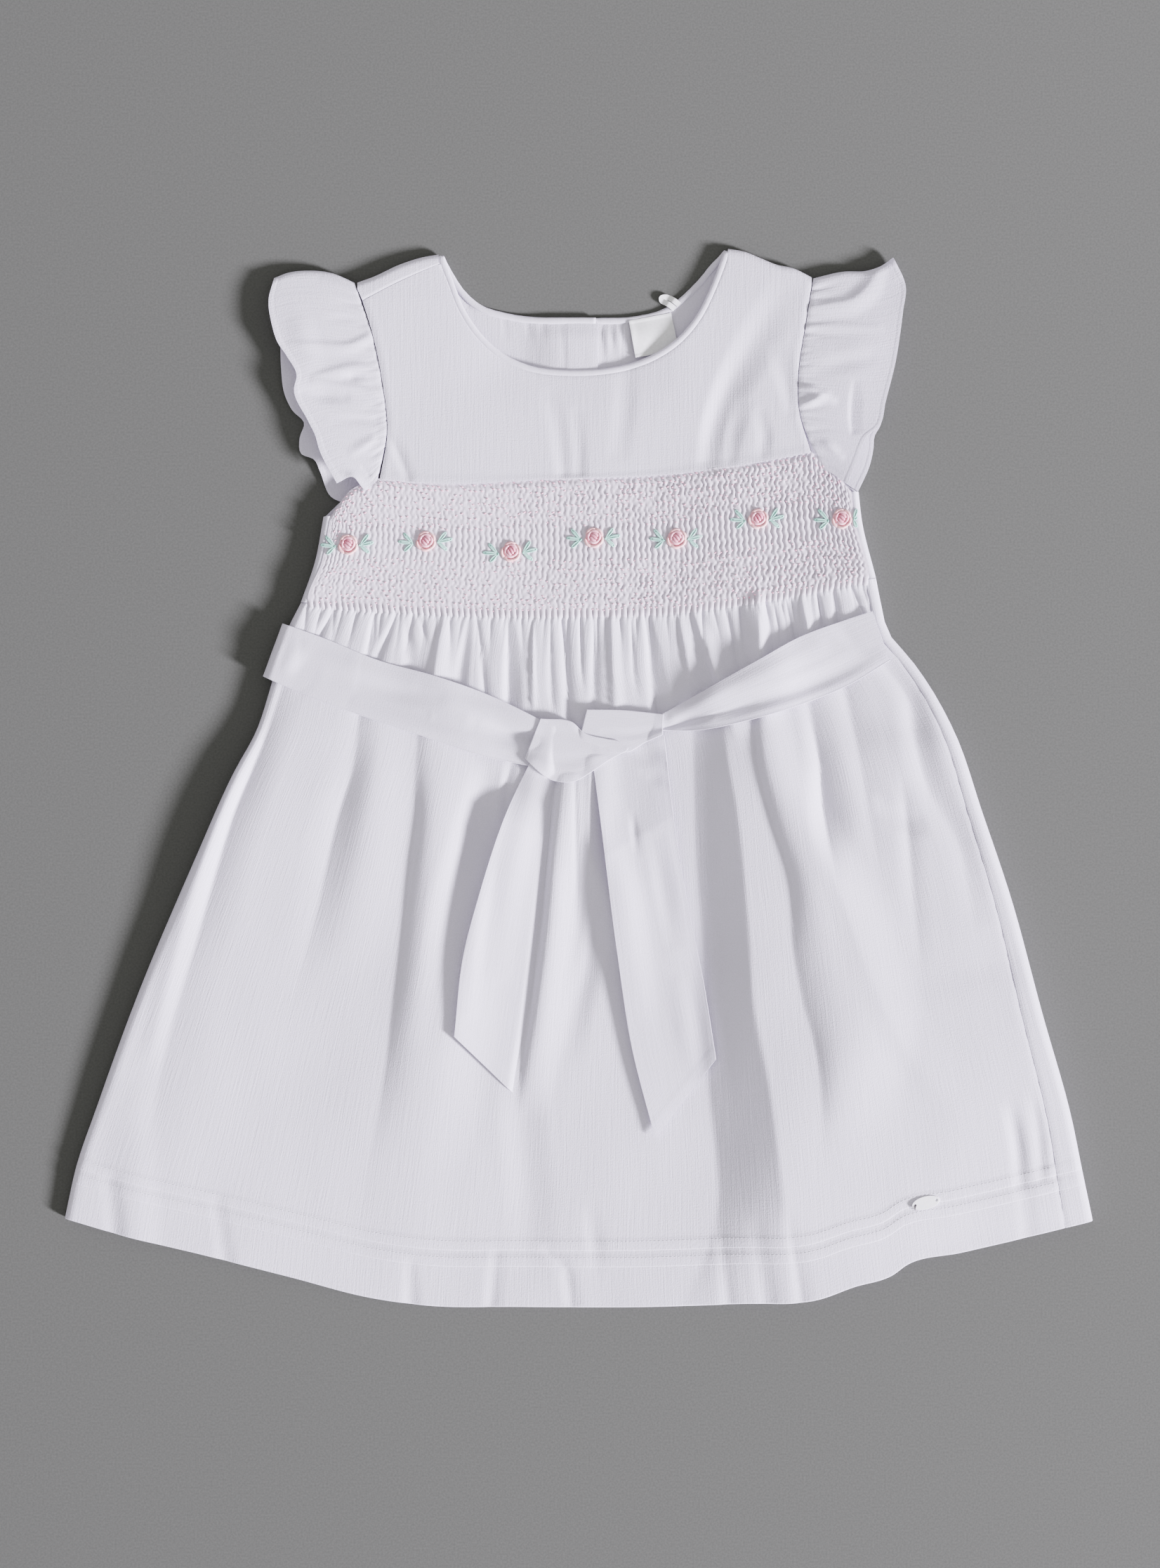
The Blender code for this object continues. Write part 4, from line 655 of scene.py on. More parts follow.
def loft(x, y):
    """Mid-wall height of the front of the dress, with no folds."""
    y_table, middle, side = np.array(LOFT)[::-1].T
    left = outline_x(y, ARMHOLE_LEFT, BODICE_LEFT, SKIRT_LEFT)
    right = outline_x(y, ARMHOLE_RIGHT, BODICE_RIGHT, SKIRT_RIGHT)
    outward = np.clip(np.abs(2 * x - left - right) / (right - left), 0, 1)
    share = (np.sqrt(outward ** 2 + 0.04) - 0.2) / 0.82
    base = np.interp(y, y_table, middle)
    base = base + (np.interp(y, y_table, side) - base) * share
    at_placket = smooth_step((58 - np.abs(x + 6)) / 34)
    return base - NECK_DIP * at_placket * np.exp(-(((y - 193) / 17) ** 2))


def waist_y(x):
    table = np.array(WAIST)
    return np.interp(x, table[:, 0], table[:, 1])


def pleat_wave(phase):
    """Profile of the pleats: broad round ridges with narrow valleys, from 0 to 1."""
    return np.abs(np.sin(np.pi * phase)) ** 0.55


def scattered(across, down, seed):
    """Even noise from -1 to 1, with about one swing a unit in each direction."""
    table = np.random.default_rng(seed).uniform(-1, 1, (64, 128))
    column, row = np.floor(across).astype(int), np.floor(down).astype(int)
    s, t = smooth_step(across - column), smooth_step(down - row)

    def corner(i, j):
        return table[(row + i) % 64, (column + j) % 128]

    upper = corner(0, 0) * (1 - s) + corner(0, 1) * s
    return upper * (1 - t) + (corner(1, 0) * (1 - s) + corner(1, 1) * s) * t


def small_gathers(x, drop):
    """Rise of the gathers that the released pleats form, which widen and die away down the skirt."""
    random = np.random.default_rng(7)
    rise = np.zeros_like(x)
    places = np.arange(-126, 136, 6.1) + random.uniform(-1.8, 1.8, 43)
    for place in places:
        lean, depth, run = random.uniform(-0.12, 0.12), random.uniform(0.5, 1.35), random.uniform(12, 30)
        centre = place + (lean + 0.0016 * place) * drop
        width = 0.9 + 0.07 * np.clip(drop, 0, None)
        rise -= depth * np.exp(-np.abs(x - centre) / width) * np.exp(-((drop / run) ** 2))
    return rise * smooth_step(drop / 3)


def skirt_z(plan, share):
    """Mid-wall height of the front skirt. The share across places the pleats."""
    x, y = plan[..., 0], plan[..., 1]
    drop = waist_y(x) - y
    rise = ridges(x, y, SKIRT_FOLDS) + ridges(x, y, HEM_FOLDS) + ridges(x, y, GATHERS)
    rise += small_gathers(x, drop) + swell(x, y, 70, 0.8, 3) * smooth_step(drop / 60)
    rise += swell(x, y, 22, 0.16, 4) * smooth_step(drop / 40)
    pleats = PLEAT_HEIGHT * (pleat_wave(share * PLEATS / PLEAT_SPAN) - 0.6) * np.exp(-((drop / 2.6) ** 2))
    return loft(x, y) + rise + pleats


def placket_z(plan):
    """Mid-wall height of the back, which lies over the buttons and sinks again towards the neck."""
    x, y = plan[..., 0], plan[..., 1]
    reach = np.abs(x - BUTTON_X) - PLACKET_SPREAD * smooth_step((x - 8) / PLACKET_SPREAD)
    across = smooth_step((PLACKET_REACH - reach) / PLACKET_FLANK)
    sink, sink_start, sink_run = PLACKET_SINK
    kept = 1 - sink * smooth_step((y - sink_start) / sink_run)
    along = smooth_step((y - PLACKET_LOW) / PLACKET_RUN) * kept
    return FLOOR_MID + PLACKET_LIFT * across * along


# ------------------------------------------------------------------ meshes


def new_object(name, data):
    made = bpy.data.objects.new(name, data)
    bpy.context.scene.collection.objects.link(made)
    return made


def mesh_piece(name, points, faces, material, cloth_places=None, wall=None):
    """A mesh from points in millimetres. cloth_places are each point's place on the flat cloth."""
    faces = [list(face) for face in faces]
    mesh = bpy.data.meshes.new(name)
    mesh.from_pydata((np.asarray(points) * MM).tolist(), [], faces)
    mesh.shade_smooth()
    if cloth_places is not None:
        layer = mesh.uv_layers.new(name="cloth")
        corners = np.empty(len(mesh.loops), np.int32)
        mesh.loops.foreach_get("vertex_index", corners)
        layer.data.foreach_set("uv", np.asarray(cloth_places, np.float32)[corners].ravel())
    mesh.materials.append(material)
    piece = new_object(name, mesh)
    if wall:
        edges = np.empty(len(mesh.loops), np.int32)
        mesh.loops.foreach_get("edge_index", edges)
        sharp = mesh.attributes.new("sharp_edge", "BOOLEAN", "EDGE")
        sharp.data.foreach_set("value", np.bincount(edges, minlength=len(mesh.edges)) == 1)
        thicken = piece.modifiers.new("wall", "SOLIDIFY")
        thicken.thickness = wall * MM
        thicken.offset = 0
    return piece


def sheet_piece(name, grid, cloth_places, wall, material, coarse_from=None):
    """A panel from a grid of mid-wall points. A point that is NaN is left out. From the row coarse_from on,
    only every second column is used."""
    grid = np.asarray(grid, float)
    rows, columns = grid.shape[:2]
    coarse_from = rows if coarse_from is None else coarse_from
    number = np.arange(rows * columns).reshape(rows, columns)
    missing = np.isnan(grid[..., 0])
    faces = []
    for r in range(rows - 1):
        span = 1 if r < coarse_from else 2
        upper, lower = number[r, ::span], number[r + 1, ::span]
        if r == coarse_from - 1:
            below = lower[::2]
            corners = [upper[:-1:2], below[:-1], below[1:], upper[2::2], upper[1::2]]
        else:
            corners = [upper[:-1], lower[:-1], lower[1:], upper[1:]]
        block = np.stack(corners, axis=1)
        holes = missing.ravel()[block].any(axis=1)
        faces += block[~holes].tolist()
    used = np.unique(np.concatenate([np.array(face) for face in faces]))
    new_number = np.full(rows * columns, -1)
    new_number[used] = np.arange(len(used))
    faces = [[int(new_number[corner]) for corner in face] for face in faces]
    points = grid.reshape(-1, 3)[used]
    places = np.asarray(cloth_places, float).reshape(-1, 2)[used]
    return mesh_piece(name, points, faces, material, places, wall)


def with_height(plan, z):
    return np.concatenate([plan, z[..., None]], axis=-1)


def paired(across, along):
    """Places on the flat cloth."""
    return np.stack(np.broadcast_arrays(across, along), axis=-1)


def raised(plan, up, height):
    """Points of a panel: the share up takes each from the surface to its height."""
    return with_height(plan, FLOOR_MID + (height - FLOOR_MID) * up)


# ------------------------------------------------------------------ materials


def new_material(name, roughness, **sockets):
    material = bpy.data.materials.new(name)
    material.use_nodes = True
    shader = material.node_tree.nodes["Principled BSDF"]
    shader.inputs["Roughness"].default_value = roughness
    for socket, value in sockets.items():
        shader.inputs[socket.replace("_", " ")].default_value = value
    return material, material.node_tree, shader


def node(tree, kind, inputs=None, **settings):
    made = tree.nodes.new(kind)
    for key, value in settings.items():
        setattr(made, key, value)
    for key, value in (inputs or {}).items():
        if isinstance(value, bpy.types.NodeSocket):
            tree.links.new(value, made.inputs[key])
        else:
            made.inputs[key].default_value = value
    return made


def maths(tree, operation, first, second):
    return node(tree, "ShaderNodeMath", {0: first, 1: second}, operation=operation).outputs[0]


def noise(tree, place, scale, detail):
    inputs = {"Vector": place, "Scale": scale, "Detail": detail}
    return node(tree, "ShaderNodeTexNoise", inputs).outputs["Fac"]


def stretched_noise(tree, place, across, along, detail=1.0):
    scaled = node(tree, "ShaderNodeMapping", {"Vector": place, "Scale": (across, along, 1.0)}).outputs[0]
    return noise(tree, scaled, 1.0, detail)


def weighted(tree, *parts):
    """The sum of some values, each times its weight."""
    total = None
    for value, weight in parts:
        part = maths(tree, "MULTIPLY", value, weight)
        total = part if total is None else maths(tree, "ADD", total, part)
    return total


def two_tone(tree, value, limits, colours):
    """One colour up to the first limit of the value, the other from the second one on."""
    ramp = node(tree, "ShaderNodeValToRGB", {"Fac": value})
    for element, limit, colour in zip(ramp.color_ramp.elements, limits, colours):
        element.position = limit
        element.color = (*colour, 1)
    return ramp.outputs[0]


def relief(tree, shader, height, strength, depth):
    inputs = {"Height": height, "Strength": strength, "Distance": depth}
    bump = node(tree, "ShaderNodeBump", inputs).outputs[0]
    tree.links.new(bump, shader.inputs["Normal"])
    return bump


def cotton(name, colour, rib, rib_strength, slub=0.5):
    """Plain woven cotton. rib is the distance between its ribs, which run down the cloth."""
    sheen = {"Sheen_Weight": COTTON_SHEEN, "Sheen_Roughness": 0.5}
    material, tree, shader = new_material(name, COTTON_ROUGHNESS, **sheen)
    place = node(tree, "ShaderNodeUVMap", uv_map="cloth").outputs[0]
    ribs = stretched_noise(tree, place, 0.9 / rib, 0.05)
    weft = stretched_noise(tree, place, 0.25, 1.3 / rib)
    streaks = stretched_noise(tree, place, 0.9, 0.02, 3.0)
    mottle = noise(tree, place, 0.02, 2.0)
    grain = noise(tree, place, 1.5, 2.0)
    weave = weighted(tree, (ribs, 1.1), (weft, 0.6), (streaks, 0.9 * slub), (grain, 1.1))
    bump = relief(tree, shader, weave, rib_strength, 0.00012)
    shade = weighted(tree, (grain, 1 - slub / 2), (mottle, slub / 2))
    darker = tuple(channel * COTTON_SHADE for channel in colour)
    tone = two_tone(tree, shade, GRAIN_LIMITS, (darker, colour))
    tree.links.new(tone, shader.inputs["Base Color"])
    through_it = node(tree, "ShaderNodeBsdfTranslucent", {"Color": tone, "Normal": bump})
    mix = node(tree, "ShaderNodeMixShader", {0: SHEER, 1: shader.outputs[0], 2: through_it.outputs[0]})
    tree.links.new(mix.outputs[0], tree.nodes["Material Output"].inputs["Surface"])
    return material


def smooth_finish(name, colours, roughness, scale, bump_size, **sockets):
    """Satin, resin or metal: two close shades along noise, and a fine relief."""
    material, tree, shader = new_material(name, roughness, **sockets)
    shades = noise(tree, node(tree, "ShaderNodeTexCoord").outputs["Object"], scale, 3.0)
    tree.links.new(two_tone(tree, shades, SHADE_LIMITS, colours), shader.inputs["Base Color"])
    relief(tree, shader, shades, 0.3, bump_size)
    return material


def thread(name, colours):
    """Stranded cotton thread, from one colour to the other along noise."""
    material, tree, shader = new_material(name, 0.55, Sheen_Weight=0.3)
    place = node(tree, "ShaderNodeTexCoord").outputs["Object"]
    shades = noise(tree, place, 350.0, 2.0)
    tree.links.new(two_tone(tree, shades, SHADE_LIMITS, colours), shader.inputs["Base Color"])
    relief(tree, shader, noise(tree, place, 4000.0, 1.0), 0.4, 0.0001)
    return material


# ------------------------------------------------------------------ skirt


def skirt_surface():
    return patch(through(WAIST), through(HEM), through(SKIRT_LEFT), through(SKIRT_RIGHT))


def skirt_length():
    side = through(SKIRT_LEFT)(np.linspace(0, 1, 40))
    return np.linalg.norm(np.diff(side, axis=0), axis=1).sum()


def tuck_rows(fold, layer):
    """A tuck as (distance from the hem, lift): down over its top, under at the fold, back up and down."""
    stitch, middle = fold + TUCK_DEPTH, fold + TUCK_DEPTH / 2
    return (
        (stitch + 1.6, 0), (stitch + 0.6, 0), (stitch, 0.1 * layer), (stitch - 0.5, 1.0 * layer),
        (stitch - 1.4, 1.9 * layer), (middle, 2.1 * layer), (fold + 0.35, 2 * layer),
        (fold + 0.06, 1.8 * layer), (fold, 1.5 * layer), (fold + 0.06, 1.2 * layer),
        (fold + 0.35, layer), (middle, layer),
        (stitch - 1.0, 0.9 * layer), (stitch - 0.6, 0.5 * layer), (stitch - 1.0, 0), (middle, 0),
    )


def hem_rows(layer):
    """The hem turned up inside, as (distance from the hem, lift)."""
    return (
        (HEM_DEPTH - 1, 0), (13, 0), (9, 0), (5, 0), (1.5, 0), (0.35, 0), (0.06, -0.15 * layer),
        (0, -0.5 * layer), (0.25, -0.75 * layer), (1, -layer), (4, -layer), (10, -layer),
        (HEM_DEPTH - 0.5, -layer),
    )


def skirt_rows(fine, middle, layer):
    """Shares of the skirt's length and lifts, row by row, and the number of the fine rows at the top."""
    length = skirt_length()
    upper = HEM_DEPTH + TUCK_PITCH
    path = [(length - drop, 0) for drop in fine]
    plain = np.linspace(path[-1][0], upper + TUCK_DEPTH + 6, middle)[1:]
    path += [(row, 0) for row in plain]
    path += [*tuck_rows(upper, layer), *tuck_rows(HEM_DEPTH, layer), *hem_rows(layer)]
    path = np.array(path)
    return 1 - path[:, 0] / length, path[:, 1], length


def skirt_places(across, shares, length):
    path = np.cumsum(np.abs(np.gradient(1 - shares[:, 0]))) * length
    return paired(across * SKIRT_CUT, -path[:, None])


def front_skirt(material):
    surface = skirt_surface()
    fine = np.append(np.linspace(0, 14, 13), 16.5)
    shares, lifts, length = skirt_rows(fine, 58, TUCK_LAYER)
    turn = np.linspace(-90, 84, 18)
    columns = 350
    shares = shares[:, None]
    width = row_widths(surface, shares)
    inset, up = roll(turn, SIDE_ROLL)
    seam = 1 - (np.interp(shares, *np.array(SEAM_INSET).T) + SEAM_GAP) / width
    flat = np.linspace(0, 1, 2 * columns - len(turn) + 1)[None, 1:]
    across = np.concatenate([inset[None] / width, SIDE_ROLL / width * (1 - flat) + seam * flat], axis=1)
    up = np.concatenate([up, np.ones(flat.shape[1])])[None] * np.ones_like(shares)
    if across.shape[1] % 2 == 0:
        across, up = across[:, 1:], up[:, 1:]
    plan = surface(across, shares)
    points = raised(plan, up, skirt_z(plan, across - WAIST_SPAN[0]))
    to_seam = (seam - across) * width
    points[..., 2] += lifts[:, None] * up - 0.45 * np.exp(-to_seam / 1.0)
    points[0, :, 2] -= 0.45 * up[0]
    puckers = np.sin(2 * np.pi * shares * length / 7.3) * np.exp(-to_seam / 5)
    points[..., 2] += 0.15 * puckers
    places = skirt_places(across, shares, length)
    return sheet_piece("skirt_front", points, places, WALL, material, coarse_from=len(fine)), points


def back_skirt(material):
    """The back lies on the surface, with shallow gathers, and wraps round the right side to its seam."""
    surface = skirt_surface()
    fine = np.linspace(0, 12, 7)
    shares, lifts, length = skirt_rows(fine, 34, TUCK_LAYER * 0.5)
    shares = shares[:, None]
    width = row_widths(surface, shares)
    turn = np.linspace(-84, 90, 16)
    inset, up = roll(turn, SIDE_ROLL)
    up = np.append(up, np.ones(6))
    seam = np.interp(shares, *np.array(SEAM_INSET).T) - SEAM_GAP
    top_run = SIDE_ROLL + (seam - SIDE_ROLL) * np.linspace(0, 1, 7)[None, 1:]
    wrap = np.concatenate([np.broadcast_to(inset, (len(shares), len(turn))), top_run], axis=1)
    flat = np.linspace(0, 1, 200)[None]
    start, end = (SIDE_ROLL + SEAM_GAP) / width, 1 - SIDE_ROLL / width
    across = np.concatenate([start * (1 - flat) + end * flat, 1 - wrap / width], axis=1)
    up = np.concatenate([np.zeros(flat.shape[1]), up])[None] * np.ones_like(shares)
    plan = surface(across, shares)
    x, y = plan[..., 0], plan[..., 1]
    points = raised(plan, up, skirt_z(plan, across - WAIST_SPAN[0]))
    drop = waist_y(x) - y
    gathers = 0.6 + 0.6 * np.sin(2 * np.pi * across * 34 + 2 * np.sin(9 * across) + 0.004 * drop)
    gathers *= 0.35 + 0.65 * np.exp(-drop / 90)
    points[..., 2] += (1 - up) * (gathers * 0.8 + 0.3 * swell(x, y, 60, 1, 5) + 0.3)
    points[..., 2] += np.where(up == 0, np.abs(lifts)[:, None] * 0.6, lifts[:, None] * up)
    to_seam = (across - (1 - seam / width)) * width
    points[..., 2] -= 0.35 * np.exp(-np.abs(to_seam) / 0.8) * up
    places = skirt_places(across, shares, length)
    return sheet_piece("skirt_back", points, places, WALL, material), points


# ------------------------------------------------------------------ smocking


def smocked_surface():
    low = shifted(part_of(through(WAIST), *WAIST_SPAN), dy=-SMOCK_LAPPED)
    left = through((*((x + BODICE_SEAM, y) for x, y in BODICE_LEFT), low(0)))
    right = through((*((x - BODICE_SEAM, y) for x, y in BODICE_RIGHT), low(1)))
    seam = shifted(through(YOKE_SEAM), dy=SMOCK_TUCKED)
    top = joined(
        (through((left(0), (-105, 133.5), seam(0))), 0.12),
        (seam, 0.9),
        (through((seam(1), (118, 142), right(0))), 1.0),
    )
    return patch(top, low, left, right)


def smocked_point(across, down):
    """A point of the smocked panel. Stitches pull its pleats into waves, most in the stitched zones."""
    plan = smocked_surface()(across, down)
    drop = down * SMOCK_LENGTH - SMOCK_TUCKED
    phase = across * PLEATS
    stitched = smooth_step((SMOCK_ZONES[0] - drop) / 3) + smooth_step((drop - SMOCK_ZONES[1]) / 3)
    slow = 1.4 * np.sin(phase / 9.0) + 0.9 * np.sin(phase / 3.7 + 1) + 0.5 * np.sin(drop / 7 + phase / 5)
    wave = np.sin(2 * np.pi * drop / SMOCK_WAVE + slow) * smooth_step((SMOCK_HEIGHT - drop) / 3)
    pinch = np.cos(np.pi * phase) * np.sin(np.pi * drop / SMOCK_WAVE + 0.4 * slow)
    uneven = scattered(phase * 1.02, drop / 2.1, 5)
    shift = (0.15 + 0.10 * stitched) * wave + 0.12 * stitched * pinch + (0.10 + 0.12 * stitched) * uneven
    relief = pleat_wave(phase + shift)
    pull = 0.5 + 0.5 * np.sin(2 * np.pi * drop / SMOCK_WAVE + 2 * slow)
    height = PLEAT_HEIGHT * (1 - 0.22 * stitched * pull)
    height = height * (1 + 0.45 * scattered(phase, drop / 2.6, 6))
    edge = smooth_step(drop / 2.0)
    ends = smooth_step(np.minimum(across, 1 - across) * 60)
    x, y = plan[..., 0], plan[..., 1]
    strength = ends * (0.35 + 0.65 * edge) * (0.62 + 0.90 * smooth_step((x + 60) / 190))
    z = loft(x, y) + (height * (relief - 0.6)) * strength + swell(x, y, 45, 0.5, 11)
    z -= 0.5 * (1 - edge)
    past = drop - SMOCK_HEIGHT
    fade = smooth_step((past + 5) / 5)
    z = z * (1 - fade) + skirt_z(plan, across * PLEAT_SPAN) * fade
    z += 0.1 - 0.6 * smooth_step((past - 1.2) / 2.0)
    return with_height(plan, z)


def smocked_panel(material):
    across = np.linspace(0, 1, PLEATS * 6 + 1)[None]
    down = np.linspace(0, 1, 78)[:, None]
    points = smocked_point(across, down)
    places = paired(across * SKIRT_CUT, -down * SMOCK_HEIGHT)
    return sheet_piece("smocking", points, places, PANEL_WALL, material), points


# ------------------------------------------------------------------ yoke


def front_yoke(material):
    neck = beside(through(NECK_FRONT), 2 * PIPING - 0.5)
    seam = shifted(through(SHOULDER_SEAM_LEFT), dy=-SEAM_GAP)
    shoulder = through(SHOULDER_RIGHT)
    seam_end, neck_end = YOKE_TOP
    inner_shoulder = shifted(shoulder, dy=-SHOULDER_ROLL)
    top = joined((seam, seam_end), (part_of(neck, 0.015, 1), neck_end), (inner_shoulder, 1.0))
    left = through((seam(0), *ARMHOLE_LEFT[1:-1], (YOKE_SEAM[0][0], YOKE_SEAM[0][1] + SEAM_GAP)))
    right = through((top(1), *ARMHOLE_RIGHT[1:-1], (YOKE_SEAM[-1][0], YOKE_SEAM[-1][1] + SEAM_GAP)))
    low = shifted(through(YOKE_SEAM), dy=SEAM_GAP)
    start = neck_end + 0.0005
    across = np.unique(np.concatenate([
        np.linspace(0, seam_end, 36), np.linspace(seam_end, neck_end, 110), np.linspace(start, 1, 38),
    ]))
    down = np.linspace(0, 1, 84)[:, None]
    plan = patch(top, low, left, right)(across[None], down)
    z = yoke_z(plan)
    to_low = (1 - down) * 70
    z = z + 0.3 * smooth_step((4 - to_low) / 4)
    width = np.linalg.norm(plan[:, -1] - plan[:, 0], axis=-1)[:, None]
    to_side = np.minimum(across, 1 - across)[None] * width
    z = z - 0.25 * np.exp(-to_side / 0.8) + 0.1 * np.exp(-(((to_side - 2.2) / 1.4) ** 2))
    to_neck = (down * 50) + np.where((across > seam_end) & (across < neck_end), 0, 99)[None]
    z = z - 0.3 * np.exp(-to_neck / 0.7)
    grid = with_height(plan, z)
    over = across > neck_end
    turns = np.linspace(4, 84, 8)
    rolls = np.full((len(turns), len(across), 3), np.nan)
    rolls[:, over] = over_roll(shoulder((across[over] - start) / (1 - start)), turns)
    grid = np.concatenate([rolls, grid])
    return sheet_piece("yoke", grid, grid[..., :2], WALL, material), grid


def yoke_relief(x, y):
    return ridges(x, y, YOKE_FOLDS) + swell(x, y, 60, 0.5, 21)


def yoke_z(plan):
    """Mid-wall height of the plain upper front."""
    x, y = plan[..., 0], plan[..., 1]
    return loft(x, y) + yoke_relief(x, y)


def over_roll(shoulder_line, turns):
    """Lines of points round the rolled shoulder, one for each turn in degrees."""
    lines = []
    for depth, share in zip(*roll(turns, SHOULDER_ROLL)):
        line = shoulder_line - np.array([0, depth])
        lines.append(raised(line, np.full(len(line), share), yoke_z(line)))
    return lines


# ------------------------------------------------------------------ pile


class Pile:
    """Height of the cloth laid so far, on a fine raster, for the next piece to rest on."""

    STEP = 0.6
    LOW = np.array([-252.0, -256.0])

    def __init__(self):
        self.height = np.zeros((842, 850))

    def add(self, grid, wall, spacing=5.0):
        """Adds a grid of mid-wall points, no further apart than the spacing."""
        dense = grid
        for axis in (0, 1):
            dense = finer(dense, axis, int(np.ceil(spacing / self.STEP / 0.8)) if axis == 0 else 3)
        dense = dense[~np.isnan(dense[..., 2])]
        cells = np.round((dense[:, :2] - self.LOW) / self.STEP).astype(int)
        inside = ((cells >= 0) & (cells < self.height.shape)).all(axis=1)
        cells, tops = cells[inside], dense[inside, 2] + wall / 2
        np.maximum.at(self.height, (cells[:, 0], cells[:, 1]), tops)

    def over(self, plan, reach):
        """Height that clears the pile: its top within reach, smoothed over the same reach."""
        count = max(1, int(round(reach / self.STEP)))
        cover = self.height
        for axis in (0, 1):
            cover = np.max([np.roll(cover, step, axis) for step in range(-count, count + 1)], axis=0)
        for axis in (0, 1, 0, 1):
            half = max(1, count // 2)
            cover = np.mean([np.roll(cover, step, axis) for step in range(-half, half + 1)], axis=0)
        spot = (plan - self.LOW) / self.STEP
        cell = np.clip(np.floor(spot).astype(int), 0, np.array(self.height.shape) - 2)
        share = np.clip(spot - cell, 0, 1)
        (i, j), (s, t) = np.moveaxis(cell, -1, 0), np.moveaxis(share, -1, 0)
        low = cover[i, j] * (1 - s) + cover[i + 1, j] * s
        high = cover[i, j + 1] * (1 - s) + cover[i + 1, j + 1] * s
        return low * (1 - t) + high * t


def finer(grid, axis, times):
    """The grid with times as many steps along one axis."""
    count = grid.shape[axis]
    places = np.linspace(0, count - 1, (count - 1) * times + 1)
    first = np.minimum(places.astype(int), count - 2)
    share = (places - first).reshape([-1 if axis == k else 1 for k in range(grid.ndim)])
    return np.take(grid, first, axis) * (1 - share) + np.take(grid, first + 1, axis) * share


# ------------------------------------------------------------------ back bodice


def back_relief(x, y):
    return ridges(x, y, BACK_FOLDS) + swell(x, y, 40, 0.3, 31)


def back_half(name, side, material):
    """Half of the back bodice, from its placket edge to the side seam that shows on the front."""
    left_half = side == "left"
    armhole, underarm, outline, shoulder, neck = {
        "left": (ARMHOLE_LEFT, UNDERARM_LEFT, BODICE_LEFT, SHOULDER_LEFT, NECK_BACK_LEFT),
        "right": (ARMHOLE_RIGHT, UNDERARM_RIGHT, BODICE_RIGHT, SHOULDER_RIGHT, NECK_BACK_RIGHT),
    }[side]
    shoulder_line = through(shoulder if left_half else shoulder[::-1])
    inner_shoulder = shifted(shoulder_line, dy=-SHOULDER_ROLL)
    neck_line = beside(through(neck), 2 * PIPING - NECK_TUCKED)
    placket = through(PLACKET_EDGE_LEFT if left_half else PLACKET_EDGE_RIGHT)
    waist = through(WAIST)
    if left_half:
        top = joined((inner_shoulder, SHOULDER_SHARE), (part_of(neck_line, NECK_TRIM, 1), 1.0))
        low = part_of(waist, 0, BACK_SPLIT)
    else:
        top = joined(
            (inner_shoulder, SHOULDER_SHARE),
            (part_of(neck_line, 1 - NECK_TRIM, 0.02), 0.88),
            (straight(neck_line(0.02), placket(0)), 1.0),
        )
        low = part_of(waist, 1, BACK_SPLIT - BACK_OVERLAP)
    edge = through((inner_shoulder(0), *armhole[1:-1], *underarm[:-1], outline[0]))
    outer = joined((edge, UNDERARM_SHARE), (through(outline), 1.0))
    surface = patch(top, shifted(low, dy=0.3), outer, placket)

    rows = np.unique(np.append(np.linspace(0, 1, 64), UNDERARM_SHARE))[:, None]
    width = row_widths(surface, rows)
    on_side = rows >= UNDERARM_SHARE
    start = np.where(on_side, BODICE_ROLL / width, 0.0)
    shoulder_part, neck_part = np.linspace(0, SHOULDER_SHARE, 20), np.linspace(SHOULDER_SHARE + 0.005, 1, 60)
    flat = np.concatenate([shoulder_part, neck_part])[None]
    plan = surface(start + (1 - start) * flat, rows)
    x, y = plan[..., 0], plan[..., 1]
    z = placket_z(plan) + back_relief(x, y)
    z += OVERLAP_RISE * smooth_step((x - OVERLAP_START) / OVERLAP_RUN) if left_half else 0
    to_edge = (1 - start) * (1 - flat) * width
    to_band = to_edge - PLACKET_BAND
    z += 0.25 * smooth_step(-to_band / 0.8) - 0.2 * np.exp(-(to_band / 0.6) ** 2)
    main_grid = with_height(plan, z)

    turn = np.linspace(90, -70, 12)
    inset, up = roll(turn, BODICE_ROLL)
    inset, up = np.append(BODICE_SEAM - SEAM_GAP, inset)[None], np.append(1, up)[None] * np.ones_like(rows)
    plan = surface(inset / width, rows)
    wrap = raised(plan, up, loft(plan[..., 0], plan[..., 1]))
    wrap[..., 2] -= 0.5 * np.exp(-np.abs(inset - BODICE_SEAM) / 0.5) * up
    wrap[~on_side[:, 0]] = np.nan
    grid = np.concatenate([wrap, main_grid], axis=1)

    columns = np.concatenate([np.full(wrap.shape[1], np.nan), flat[0]])
    over = columns <= SHOULDER_SHARE
    places = columns[over] / SHOULDER_SHARE
    turns = np.linspace(90, -70, 14) if left_half else np.linspace(-4, -70, 7)
    rolls = []
    if left_half:
        strip = through(SHOULDER_SEAM_LEFT)(places)
        edge_line = shoulder_line(places) - np.array([0, SHOULDER_ROLL])
        for share in (0.0, 0.08, 0.35, 0.7):
            line = strip * (1 - share) + edge_line * share
            height = yoke_z(line) - (0.5 if share == 0 else 0)
            rolls.append(raised(line, np.ones(len(line)), height))
    rolls += over_roll(shoulder_line(places), turns)
    block = np.full((len(rolls), len(columns), 3), np.nan)
    block[:, over] = np.array(rolls)
    grid = np.concatenate([block, grid])
    if not left_half:
        grid = grid[:, ::-1]
    return sheet_piece(name, grid, grid[..., :2], WALL, material), grid


# ------------------------------------------------------------------ tubes, threads and stitches


